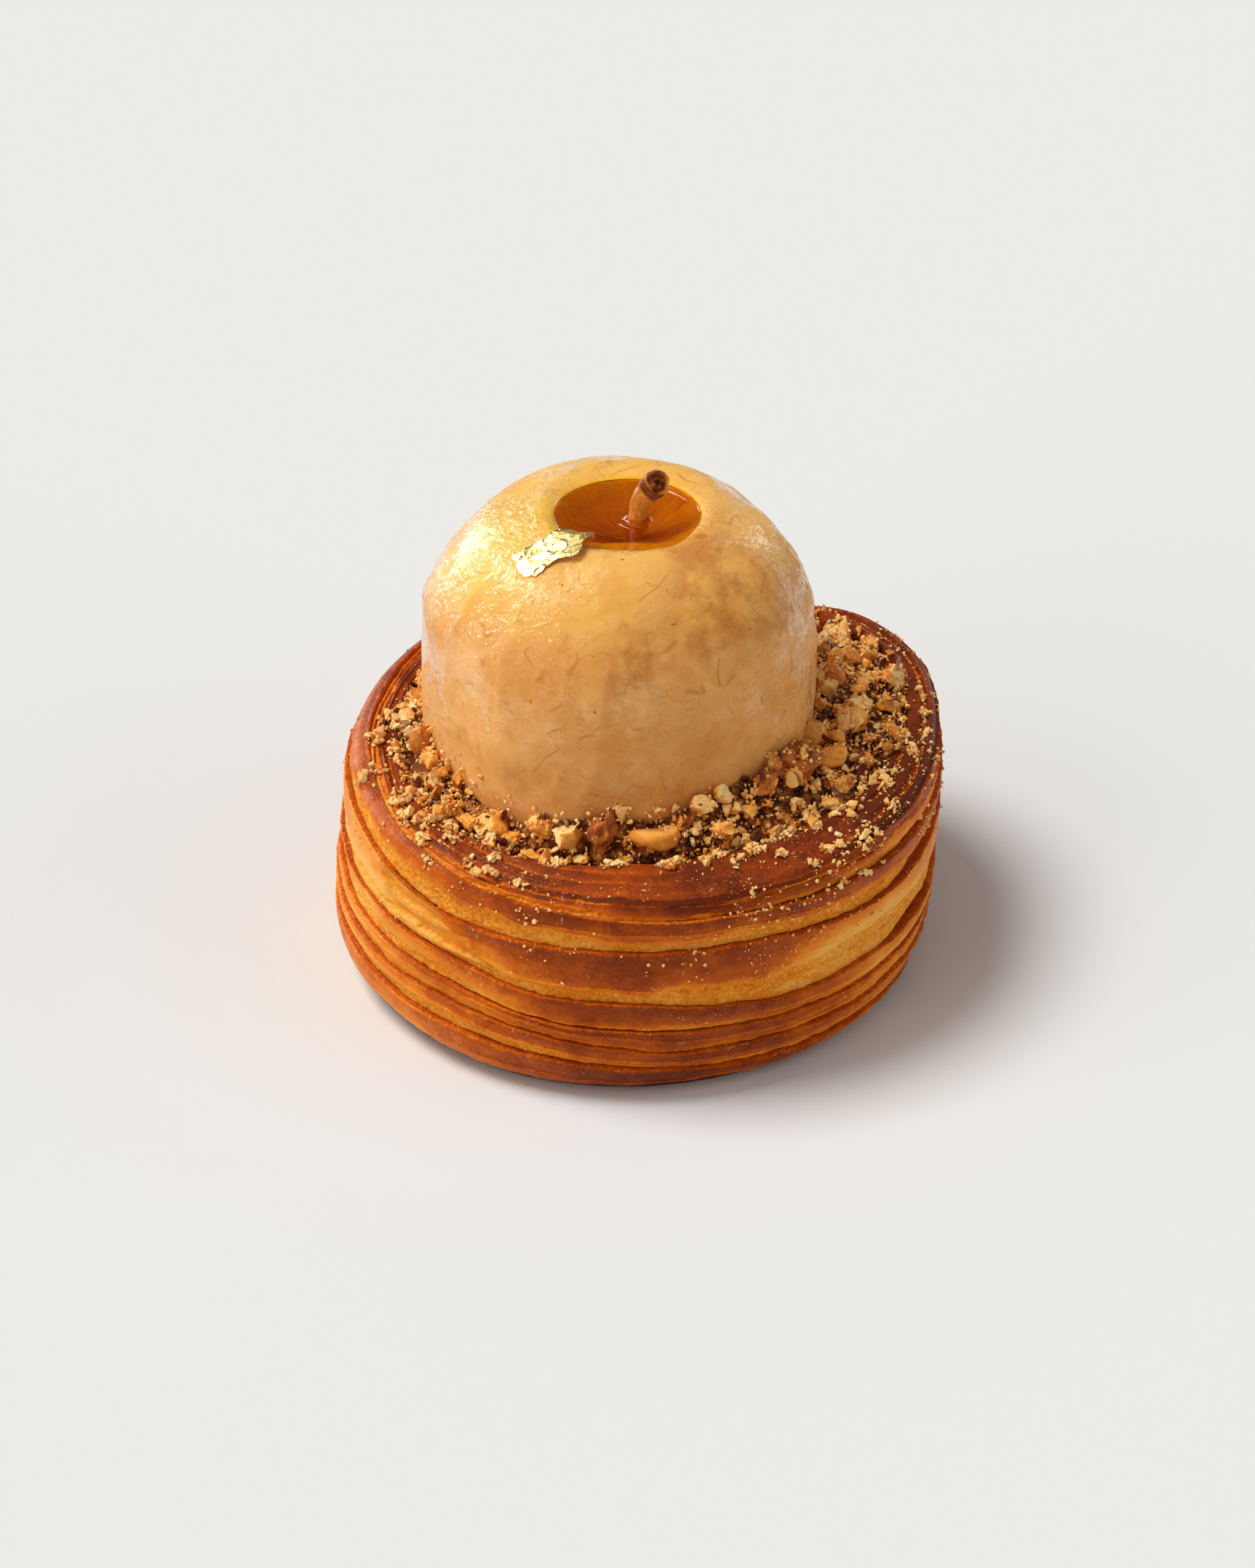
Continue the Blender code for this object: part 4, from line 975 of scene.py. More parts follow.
def makeSyrup():
    azimuth = turns(syrup["columns"])
    turn = np.radians(azimuth)
    outline = [(radius + 0.12, height) for radius, height in apple["hollow"][:1:-1]]
    outline.append((syrup["edge"] + 0.1, apple["syrupLevel"] - 0.2))
    outline += [(radius, apple["syrupLevel"]) for radius in np.linspace(syrup["edge"], 0.3, syrup["rows"])]
    radii, heights = np.array(outline).T[:, :, None]
    x, y = radii * np.cos(turn), radii * np.sin(turn)
    fromEdge = syrup["edge"] - radii
    fromStalk = np.hypot(x - syrup["stalkAt"][0], y - syrup["stalkAt"][1]) - syrup["stalkRadius"]
    top = np.arange(len(radii)) >= len(radii) - syrup["rows"]
    # the syrup creeps up where it meets the apple and the stalk
    rise = syrup["meniscus"] * np.exp(-fromEdge / 0.7) + 0.9 * np.exp(-np.maximum(fromStalk, 0.0) / 0.8)
    rise = rise + 0.05 * crags(azimuth, radii, 501, 9.0, 5.0, 2, 8.0) * ramp(fromEdge, 0.0, 3.0)
    heights = heights + rise * top[:, None]
    rings = np.stack([*hollowRing(radii, azimuth), heights], -1)
    start = np.array((*hollowMiddle, apple["hollowBottom"] - 0.1))
    end = np.array((*hollowMiddle, heights[-1].mean()))
    return skinMesh("syrupPool", rings, {}, start, end)


addPiece("syrupPool", makeSyrup(), syrupFinish(), "amber_syrup", "syrup")

# Stalk: (along X and Y from the hollow's middle, height, radius)
stalk = {
    "path": [(0.9, -1.0, 72.5, 1.7), (1.3, -1.4, 75.8, 1.8), (1.65, -1.7, 79.2, 1.7),
             (1.75, -1.7, 80.8, 1.40), (2.0, -1.55, 82.4, 1.50), (2.7, -1.4, 84.0, 1.68),
             (3.9, -1.1, 85.3, 1.80), (4.9, -0.8, 86.2, 1.92)],
    "columns": 64, "rows": 90,
    "thicker": 1.15, "cut": (0.42, -0.62, 0.66),  # the way that its cut end faces
    "bark": [(0.0, (0.050, 0.009, 0.003)), (0.4, (0.30, 0.062, 0.010)), (0.75, (0.66, 0.20, 0.020)),
             (1.0, (0.86, 0.34, 0.05))],
    # Rings of the cut end: share of its radius, how far it stands out, tone
    "cutRings": [(0.96, 0.25, 0.46), (0.87, 0.42, 0.44), (0.77, 0.40, 0.34), (0.67, 0.16, 0.16),
                 (0.56, -0.06, 0.10), (0.44, -0.04, 0.28), (0.32, 0.06, 0.34), (0.2, -0.12, 0.12),
                 (0.1, -0.22, 0.06)],
}


def smoothPath(points, count):
    # a curve through the points, by the Catmull-Rom rule
    points = np.array(points)
    padded = np.vstack([2 * points[0] - points[1], points, 2 * points[-1] - points[-2]])
    out = []
    for place in np.linspace(0.0, len(points) - 1.0, count):
        k = min(int(place), len(points) - 2)
        t = place - k
        a, b, c, d = padded[k:k + 4]
        bend, swing = 2 * a - 5 * b + 4 * c - d, 3 * b - a - 3 * c + d
        out.append(0.5 * (2 * b + (c - a) * t + bend * t ** 2 + swing * t ** 3))
    return np.array(out)


def unit(ways):
    return ways / np.linalg.norm(ways, axis=1)[:, None]


def makeStalk():
    path = smoothPath(stalk["path"], stalk["rows"])
    centre, thick = path[:, :3] + np.array((*hollowMiddle, 0.0)), path[:, 3] * stalk["thicker"]
    ahead = unit(np.gradient(centre, axis=0))
    share = ramp(np.linspace(0.0, 1.0, len(path)), 0.70, 1.0)[:, None]
    ahead = unit(ahead + (np.array(stalk["cut"]) - ahead) * share)
    side = unit(np.cross(ahead, (0.0, 1.0, 0.3)))
    other = np.cross(ahead, side)
    azimuth = turns(stalk["columns"])
    turn = np.radians(azimuth)
    length = np.linspace(0.0, 16.0, stalk["rows"])[:, None]
    ridges = crags(azimuth + 4.0 * length, length, 601, 1.0, 6.0, 3, 1.6) * 0.13
    knots = crags(azimuth, length, 611, 2.4, 1.5, 3, 1.6) * 0.55 * ramp(length, 10.0, 13.5)
    radius = thick[:, None] * (0.97 + 0.05 * np.cos(3.0 * turn)) + ridges + knots - 0.08
    out = np.cos(turn)[:, None] * side[:, None] + np.sin(turn)[:, None] * other[:, None]
    rings = centre[:, None] + radius[..., None] * out
    # paler on the ridges and knots, darker between them: painted shade following the relief; darker toward
    # the cut end
    bark = 0.74 + 0.24 * ridges / 0.13 - 0.50 * ramp(length, 11.4, 14.0) + 0.5 * knots
    # the cut end: a rough lip round a dark hollow; its tone rises on the lumps and falls in the pits and the
    # hollow, painted shade, with painted light on the lip's left
    tip, way = rings[-1], ahead[-1]
    cap, capTone = [], []
    for share, drop, tone in stalk["cutRings"]:
        rough = 0.44 * crags(azimuth, share * 9.0, 621, 1.2, 1.1, 3, 1.6)
        cap.append(centre[-1] + (tip - centre[-1]) * share + way * (drop + rough)[:, None])
        lit = 0.25 * hill(azimuth, 205.0, 60.0) * (share > 0.75)
        capTone.append(tone + 1.1 * rough * min(1.0, 2.0 * share) + lit)
    rings = np.concatenate([rings, cap])
    mesh = skinMesh("stalk", rings, {"bark": np.vstack([bark, capTone])}, centre[0], centre[-1] - way * 0.3)
    shape = bmesh.new()
    shape.from_mesh(mesh)
    bmesh.ops.recalc_face_normals(shape, faces=shape.faces)
    shape.to_mesh(mesh)
    shape.free()
    return mesh


def barkFinish():
    finish, tree, shader = newFinish("stalkBark")
    fine = grain(tree, 0.4, 4.0, 0.65)
    tone = varied(tree, field(tree, "bark"), fine, 0.7, clamp=True)
    feed(shader, {
        "Base Color": tones(tree, tone, stalk["bark"]), "Roughness": 0.42, "Specular IOR Level": 0.3,
        "Specular Tint": (1.0, 0.6, 0.35, 1.0), "Coat Weight": 0.15, "Coat Roughness": 0.14,
        "Normal": bumpFrom(tree, [(fine, 0.14)])})
    return finish


addPiece("stalk", makeStalk(), barkFinish(), "stalk_bark", "stem")
print("syrup and stalk made")

# Gold leaf: its back and front edges from the hollow's middle, from its left end to its right tip
leaf = {
    "back": [(-18.9, -10.3), (-16.8, -9.9), (-14.4, -9.0), (-12.7, -8.1), (-10.6, -7.6), (-7.9, -8.7),
             (-5.3, -10.5)],
    "front": [(-17.7, -14.4), (-15.2, -15.8), (-12.8, -14.9), (-10.3, -14.5), (-7.9, -14.1), (-7.1, -12.2),
              (-5.5, -10.9)],
    "cells": (130, 70), "lift": 0.45, "thickness": 0.1,
    "gold": [(0.0, (0.82, 0.47, 0.085)), (1.0, (0.98, 0.73, 0.31))],
}


def appleTop(x, y):
    height = np.full_like(x, apple["syrupLevel"])
    above, power = apple["above"]
    for _ in range(6):
        axisX, axisY = appleAxis(height)
        share = np.clip(np.hypot(x - axisX, y - axisY) / apple["radius"], 0.0, 1.0)
        height = apple["waist"] + above * (1.0 - share ** power) ** (1.0 / power)
    return height


def makeLeaf():
    along, across = leaf["cells"]
    u, v = np.meshgrid(np.linspace(0.0, 1.0, along + 1), np.linspace(0.0, 1.0, across + 1), indexing="ij")
    back, front = (smoothPath(leaf[side], along + 1)[:, None] + hollowMiddle for side in ("back", "front"))
    fromMiddle = 2.0 * v - 1.0
    share = v + 0.05 * mottle(u * 9.0, 0.0, 701) * fromMiddle + 0.03 * mottle(u * 26.0, 0.0, 703) * fromMiddle
    place = back + (front - back) * share[..., None]
    x, y = place[..., 0], place[..., 1]
    x = x + (0.35 * mottle(v * 5.0, 0.0, 705) + 0.2 * mottle(v * 15.0, 0.0, 707)) * ramp(u, 0.2, 0.0)
    flats = 0.16 * np.abs(mottle(x / 4.4 + 0.5 * y / 4.4, y / 4.0 - 0.3 * x / 4.4, 713))
    creases = 0.16 * (1.0 - np.abs(mottle(x / 2.4 + 0.7 * y / 2.4, y / 2.4 - 0.3 * x / 2.4, 715))) ** 9
    creases = creases + 0.03 * (1.0 - np.abs(mottle(x / 0.9, y / 0.9, 717))) ** 4
    rolled = ramp(u, 0.55, 0.85)
    fold = (1.15 + 0.35 * rolled) * ramp(v, 0.0, 0.30 + 0.35 * rolled) * ramp(u, 0.2, 0.7)
    fold = fold - 0.35 * ramp(v, 0.3, 1.0) * ramp(u, 0.25, 0.7)
    z = appleTop(x, y) + leaf["lift"] + flats + creases + fold
    index = np.arange(u.size).reshape(u.shape)
    faces = np.stack([index[:-1, :-1], index[:-1, 1:], index[1:, 1:], index[1:, :-1]], -1).reshape(-1, 4)
    mesh = bpy.data.meshes.new("goldLeaf")
    mesh.from_pydata((np.stack([x, y, z], -1).reshape(-1, 3) * mm).tolist(), [], faces.tolist())
    mesh.shade_smooth()
    return mesh


def goldFinish():
    finish, tree, shader = newFinish("goldLeaf")
    wrinkles = [(grain(tree, 1.0, 3.0, 0.6, distortion=1.5), 0.05)]
    feed(shader, {"Base Color": tones(tree, grain(tree, 1.4, 3.0), leaf["gold"]), "Metallic": 0.78,
                  "Roughness": 0.2, "Normal": bumpFrom(tree, wrinkles)})
    return finish


leafPiece = addPiece("goldLeaf", makeLeaf(), goldFinish(), "gold", "gold_leaf")
shell = leafPiece.modifiers.new("thickness", "SOLIDIFY")
shell.thickness = leaf["thickness"] * mm
shell.offset = 0.0
print("gold leaf made")

# Nuts
nuts = {
    # heights of the heap, against the apple, and at the rim above its own rise, by azimuth
    "againstApple": [(0, 43.5), (40, 42.5), (90, 40.5), (140, 40.0), (175, 42.0), (195, 41.0), (214, 38.2),
                     (232, 37.6), (247, 41.8), (262, 42.3), (275, 41.4), (286, 42.6), (300, 43.9),
                     (312, 44.4), (338, 43.4)],
    "atRim": [(0, 36.8), (40, 36.4), (90, 35.8), (190, 36.6), (215, 35.8), (240, 35.0), (275, 34.6),
              (305, 35.6), (335, 36.6)],
    "level": 38.5, "columns": 520, "rows": 44,
    "sharpFrom": 38.0,  # degrees between faces past which a chopped edge shows
    "dropFrom": 60.0,  # height from which loose pieces are dropped on what lies below
    # Below its top: share across the trough and height, from the rim's side round to the apple's
    "underside": [(1.0, 33.0), (1.0, 29.0), (1.0, pastry["wellFloor"] + 0.35),
                  (0.3, pastry["wellFloor"] + 0.35), (0.0, 25.6), (0.0, 29.4), (0.0, 33.0)],
    # How thick crumbs lie, by azimuth: less at the front, where big pieces and dark gaps show
    "crumbs": [(0, 1.2), (90, 1.1), (180, 1.9), (210, 1.6), (232, 0.9), (255, 0.65), (285, 0.9), (320, 1.3)],
    "tones": [(0.0, (0.09, 0.011, 0.005)), (0.14, (0.25, 0.044, 0.009)), (0.30, (0.60, 0.170, 0.020)),
              (0.5, (0.95, 0.37, 0.048)), (0.78, (1.0, 0.55, 0.130)), (1.0, (1.0, 0.73, 0.34))],
    "dust": [(0.0, (0.20, 0.036, 0.010)), (0.2, (0.80, 0.26, 0.036)), (0.4, (1.0, 0.50, 0.125)),
             (1.0, (1.0, 0.71, 0.31))],
    "skin": [(0.0, (0.03, 0.006, 0.005)), (0.6, (0.16, 0.030, 0.014)), (1.0, (0.42, 0.13, 0.04))],
    # the bed under the pieces: its own brown and the painted shade of the gaps between them
    "bedAndShade": [(0.0, (0.040, 0.008, 0.002)), (0.5, (0.28, 0.075, 0.012)), (1.0, (0.74, 0.33, 0.065))],
}


def troughPoint(azimuth, share, height):
    near = reachToApple(azimuth, height, 0.1)
    far = wellReach(azimuth, height) + 0.25
    return fromRimMiddle(near + (far - near) * share, azimuth, height)


def bedHeight(azimuth, share):
    lumps = 0.85 * crags(azimuth, share * 14.0, 801, 6.0, 5.0, 3, 36.0)
    low = roundTable(azimuth, nuts["atRim"]) + rimRise(azimuth)
    high = roundTable(azimuth, nuts["againstApple"])
    return low + (high - low) * (1.0 - share) ** 1.1 + lumps


def nutFinish(name, stops, gloss, coat=0.0):
    finish, tree, shader = newFinish(name)
    cut, tone = field(tree, "cut"), field(tree, "tone")
    fine = grain(tree, 0.5, 3.0, 0.6)
    value = linear(tree, tone, 0.48, linear(tree, cut, 0.35, 0.10))
    value = varied(tree, value, fine, 0.30)
    value = varied(tree, value, grain(tree, 2.5, 2.0), 0.30, clamp=True)
    feed(shader, {
        "Base Color": tones(tree, value, stops), "Roughness": gloss, "Specular IOR Level": 0.25,
        "Coat Weight": coat, "Coat Roughness": 0.2, "Subsurface Weight": 0.1,
        "Subsurface Radius": (1.0, 0.5, 0.25), "Subsurface Scale": 0.001,
        "Normal": bumpFrom(tree, [(fine, 0.12)])})
    return finish


def bedFinish():
    finish, tree, shader = newFinish("crumbBedAndShade")
    lumps = grain(tree, 1.2, 4.0, 0.7)
    # dark, and darker in its dips: painted shade in the gaps between the nut pieces
    feed(shader, {"Base Color": tones(tree, stretchTo(tree, lumps, 0.38, 0.72), nuts["bedAndShade"]),
                  "Roughness": 0.42, "Specular IOR Level": 0.2, "Normal": bumpFrom(tree, [(lumps, 0.5)])})
    return finish


def makeBed():
    azimuth = turns(nuts["columns"])
    share = np.linspace(0.0, 1.0, nuts["rows"])[:, None]
    height = bedHeight(azimuth, share)
    turn = np.broadcast_to(azimuth, height.shape)
    sides = [troughPoint(azimuth, at, np.full_like(azimuth, level)) for at, level in nuts["underside"]]
    rings = np.concatenate([troughPoint(turn, share, height), sides])[::-1]
    thick = 0.75 + 0.5 * crags(turn, share * 14.0, 811, 9.0, 7.0, 2, 36.0)
    thick = np.clip(thick * roundTable(azimuth, nuts["crumbs"]), 0.0, 2.0)
    bare = np.zeros((len(sides), nuts["columns"]))
    return skinMesh("nutBed", rings, {"crumbs": np.vstack([thick, bare])[::-1]}, loop=True)


bedPiece = addPiece("nutBed", makeBed(), bedFinish(), "chopped_nut", "nuts")
print("nut bed made:", len(bedPiece.data.polygons), "faces")


def roundLump(subdivisions, lengths, roughness, seed):
    shape = bmesh.new()
    bmesh.ops.create_icosphere(shape, subdivisions=subdivisions, radius=0.5)
    for vert in shape.verts:
        swell = 1.0 + roughness * noise.noise(vert.co.normalized() * 1.7 + Vector((seed * 7.3, 1.7, seed)))
        vert.co = Vector([side * reach * swell for side, reach in zip(vert.co, lengths)])
    return shape


def chopped(rng, subdivisions, lengths, cuts, roughness):
    # a rounded piece of nut with flat chopped faces; "cut" is 1 on those faces and 0 on the roasted outside
    seed = rng.uniform(0.0, 50.0)
    shape = roundLump(subdivisions, lengths, roughness, seed)
    layer = shape.verts.layers.float.new("cut")
    for _ in range(cuts):
        way = Vector([rng.gauss(0.0, 1.0) for _ in range(3)]).normalized()
        depth = rng.uniform(0.10, 0.25) * sum(abs(w) * reach for w, reach in zip(way, lengths))
        for vert in shape.verts:
            over = vert.co.dot(way) - depth
            if over > 0.0:
                rough = 0.06 * noise.noise(vert.co * (6.0 / max(lengths)) + Vector((seed, 0.0, 0.0)))
                vert.co -= way * (over - rough * max(lengths))
                vert[layer] = 1.0
    if subdivisions == 2:
        flat = math.radians(9.0)
        edges = [edge for edge in shape.edges if edge.is_manifold and edge.calc_face_angle() < flat]
        bmesh.ops.dissolve_edges(shape, edges=edges, use_verts=True, use_face_split=False)
        bmesh.ops.triangulate(shape, faces=shape.faces)
    return shape


def crisp(mesh):
    # smooth, but sharp along the chopped edges
    mesh.shade_smooth()
    mesh.set_sharp_from_angle(angle=math.radians(nuts["sharpFrom"]))
    return mesh


def meshFrom(name, shape):
    mesh = bpy.data.meshes.new(name)
    shape.to_mesh(mesh)
    shape.free()
    return mesh


def joinTo(joined, shape):
    held = meshFrom("held", shape)
    joined.from_mesh(held)
    bpy.data.meshes.remove(held)


def shapeObject(name, shape, shelf):
    bmesh.ops.recalc_face_normals(shape, faces=shape.faces)
    newObject(name, crisp(meshFrom(name, shape)), shelf)


def newShelf(name):
    shelf = bpy.data.collections.new(name)
    bpy.context.scene.collection.children.link(shelf)
    return shelf


def clearShelf(shelf):
    for obj in list(shelf.objects):
        bpy.data.objects.remove(obj, do_unlink=True)
    bpy.data.collections.remove(shelf)


def scatterTree():
    # spreads shapes over a carrier: thickness of the spread follows the carrier's own weight attribute
    tree = bpy.data.node_groups.new("scatterCrumbs", "GeometryNodeTree")
    sockets = [("Geometry", "NodeSocketGeometry", None), ("Shapes", "NodeSocketCollection", None),
               ("Finish", "NodeSocketMaterial", None), ("Weight", "NodeSocketString", "crumbs"),
               ("Per square metre", "NodeSocketFloat", 1e6), ("Spacing", "NodeSocketFloat", 0.001),
               ("Smallest", "NodeSocketFloat", 0.0005), ("Largest", "NodeSocketFloat", 0.001),
               ("Fewer large", "NodeSocketFloat", 2.0), ("Lift", "NodeSocketFloat", 0.2),
               ("Tilt", "NodeSocketFloat", 3.0), ("Seed", "NodeSocketInt", 1)]
    for label, kind, value in sockets:
        socket = tree.interface.new_socket(label, in_out="INPUT", socket_type=kind)
        if value is not None:
            socket.default_value = value
    tree.interface.new_socket("Geometry", in_out="OUTPUT", socket_type="NodeSocketGeometry")
    given = tree.nodes.new("NodeGroupInput").outputs

    def add(kind, inputs, **settings):
        return addNode(tree, kind, inputs, **settings).outputs

    def draw(kind, **limits):
        return add("FunctionNodeRandomValue", {"Seed": given["Seed"], **limits}, data_type=kind)

    weight = add("GeometryNodeInputNamedAttribute", {"Name": given["Weight"]}, data_type="FLOAT")
    points = add("GeometryNodeDistributePointsOnFaces", {
        "Mesh": given["Geometry"], "Distance Min": given["Spacing"], "Density Max": given["Per square metre"],
        "Density Factor": weight["Attribute"], "Seed": given["Seed"]}, distribute_method="POISSON")
    skewed = maths(tree, "POWER", draw("FLOAT")["Value"], given["Fewer large"])
    size = add("ShaderNodeMapRange", {
        "Value": skewed, "To Min": given["Smallest"], "To Max": given["Largest"]})["Result"]
    lift = times(tree, size, given["Lift"])
    offset = add("ShaderNodeVectorMath", {0: points["Normal"], "Scale": lift}, operation="SCALE")
    moved = add("GeometryNodeSetPosition", {"Geometry": points["Points"], "Offset": offset["Vector"]})
    back = times(tree, given["Tilt"], -1.0)
    low = add("ShaderNodeCombineXYZ", {"X": back, "Y": back, "Z": 0.0})
    high = add("ShaderNodeCombineXYZ", {"X": given["Tilt"], "Y": given["Tilt"], "Z": math.tau})
    angles = draw("FLOAT_VECTOR", Min=low[0], Max=high[0])
    spin = add("FunctionNodeEulerToRotation", {"Euler": angles["Value"]})
    turned = add("FunctionNodeRotateRotation", {
        "Rotation": points["Rotation"], "Rotate By": spin["Rotation"]}, rotation_space="LOCAL")
    shapes = add("GeometryNodeCollectionInfo", {
        "Collection": given["Shapes"], "Separate Children": True, "Reset Children": True})
    pick = draw("INT", Min=0, Max=99)
    placedShapes = add("GeometryNodeInstanceOnPoints", {
        "Points": moved["Geometry"], "Instance": shapes[0], "Pick Instance": True, "Instance Index": pick[2],
        "Rotation": turned["Rotation"], "Scale": size})
    toned = add("GeometryNodeStoreNamedAttribute", {
        "Geometry": placedShapes["Instances"], "Name": "tone", "Value": draw("FLOAT")["Value"]},
        data_type="FLOAT", domain="INSTANCE")
    real = add("GeometryNodeRealizeInstances", {"Geometry": toned["Geometry"]})
    painted = add("GeometryNodeSetMaterial", {"Geometry": real["Geometry"], "Material": given["Finish"]})
    feed(tree.nodes.new("NodeGroupOutput"), {"Geometry": painted["Geometry"]})
    return tree


scatterer = scatterTree()


def scatter(name, *carriers):
    # the crumbs on each carrier are made a plain mesh, and all of one kind are joined as one piece
    kind = {"weight": "crumbs", "tilt": 3.0, "node": "nuts", **scattered[name]}
    inputs = {"Shapes": kind["shapes"], "Finish": kind["finish"], "Weight": kind["weight"],
              "Per square metre": kind["density"], "Spacing": kind["spacing"] * mm,
              "Smallest": kind["sizes"][0] * mm, "Largest": kind["sizes"][1] * mm,
              "Fewer large": kind["fewerLarge"], "Lift": kind["lift"], "Tilt": kind["tilt"]}
    joined = bmesh.new()
    for number, carrier in enumerate(carriers):
        holder = newObject(name, carrier.data)
        spread = holder.modifiers.new("scatter", "NODES")
        spread.node_group = scatterer
        inputs["Seed"] = kind["seed"] + number
        for item in scatterer.interface.items_tree:
            if item.in_out == "INPUT" and item.name in inputs:
                spread[item.identifier] = inputs[item.name]
        bpy.context.view_layer.update()
        made = bpy.data.meshes.new_from_object(holder.evaluated_get(bpy.context.evaluated_depsgraph_get()))
        holder.modifiers.clear()
        bpy.data.objects.remove(holder, do_unlink=True)
        joined.from_mesh(made)
        bpy.data.meshes.remove(made)
    piece = addPiece(name, meshFrom(name, joined), kind["finish"], "chopped_nut", kind["node"])
    print(name, "made:", len(piece.data.polygons), "faces")
    return piece


nutMeat = nutFinish("nutMeat", nuts["tones"], 0.5, 0.15)
nutDust = nutFinish("nutDust", nuts["dust"], 0.6)
nutSkin = nutFinish("nutSkin", nuts["skin"], 0.35, 0.3)


def makeShelf(name, count, seed, subdivisions, cuts, roughness, flat=(0.55, 0.95)):
    rng = random.Random(seed)
    shelf = newShelf(name)
    for number in range(count):
        lengths = (1.0, rng.uniform(*flat), rng.uniform(flat[0] * 0.8, flat[1] * 0.85))
        shape = chopped(rng, subdivisions, lengths, rng.randint(*cuts), roughness)
        shapeObject(f"{name}{number:02d}", shape, shelf)
    return shelf


def skinShelf():
    # curled flakes of brown nut skin
    rng = random.Random(77)
    shelf = newShelf("skinFlakes")
    for number in range(6):
        shape = bmesh.new()
        bmesh.ops.create_grid(shape, x_segments=4, y_segments=3, size=0.5)
        narrow, bend = rng.uniform(0.3, 0.7), rng.uniform(0.3, 0.9)
        for vert in shape.verts:
            x, y = vert.co.x, vert.co.y
            y *= narrow * (1.0 - 1.3 * x * x) + 0.12 * noise.noise(Vector((x * 4.0, y * 4.0, number)))
            x += 0.12 * noise.noise(Vector((y * 6.0, x * 5.0, number + 9.0)))
            vert.co = Vector((x, y, bend * (x * x * 0.8 + y * y) - 0.1))
        bmesh.ops.solidify(shape, geom=shape.faces[:], thickness=0.06)
        shapeObject(f"skinFlake{number}", shape, shelf)
    return shelf


def anyWay(rng):
    return Euler([rng.uniform(0.0, math.tau) for _ in range(3)]).to_matrix().to_4x4()


def makeClumpShelf():
    # loose clusters of fine crumbs that hold together
    rng = random.Random(58)
    shelf = newShelf("clumps")
    for number in range(8):
        cluster = bmesh.new()
        for _ in range(9):
            grainSize = rng.uniform(0.20, 0.42)
            shape = chopped(rng, 1, (grainSize, grainSize * rng.uniform(0.6, 1.0), grainSize * 0.7), 1, 0.5)
            turn, away = rng.uniform(0.0, math.tau), 0.42 * rng.random() ** 0.6
            high = (0.42 - away) * rng.uniform(0.1, 0.9)
            place = Vector((math.cos(turn) * away, 0.75 * math.sin(turn) * away, high))
            shape.transform(Matrix.Translation(place) @ anyWay(rng))
            joinTo(cluster, shape)
        shapeObject(f"clump{number}", cluster, shelf)
    return shelf


chunkShelf = makeShelf("chunks", 14, 21, 3, (3, 6), 0.35)
clumpShelf = makeClumpShelf()
granuleShelf = makeShelf("granules", 14, 22, 2, (5, 7), 0.7, (0.45, 0.9))
crumbShelf = makeShelf("fineCrumbs", 10, 23, 1, (1, 2), 0.5)
flakeShelf = skinShelf()

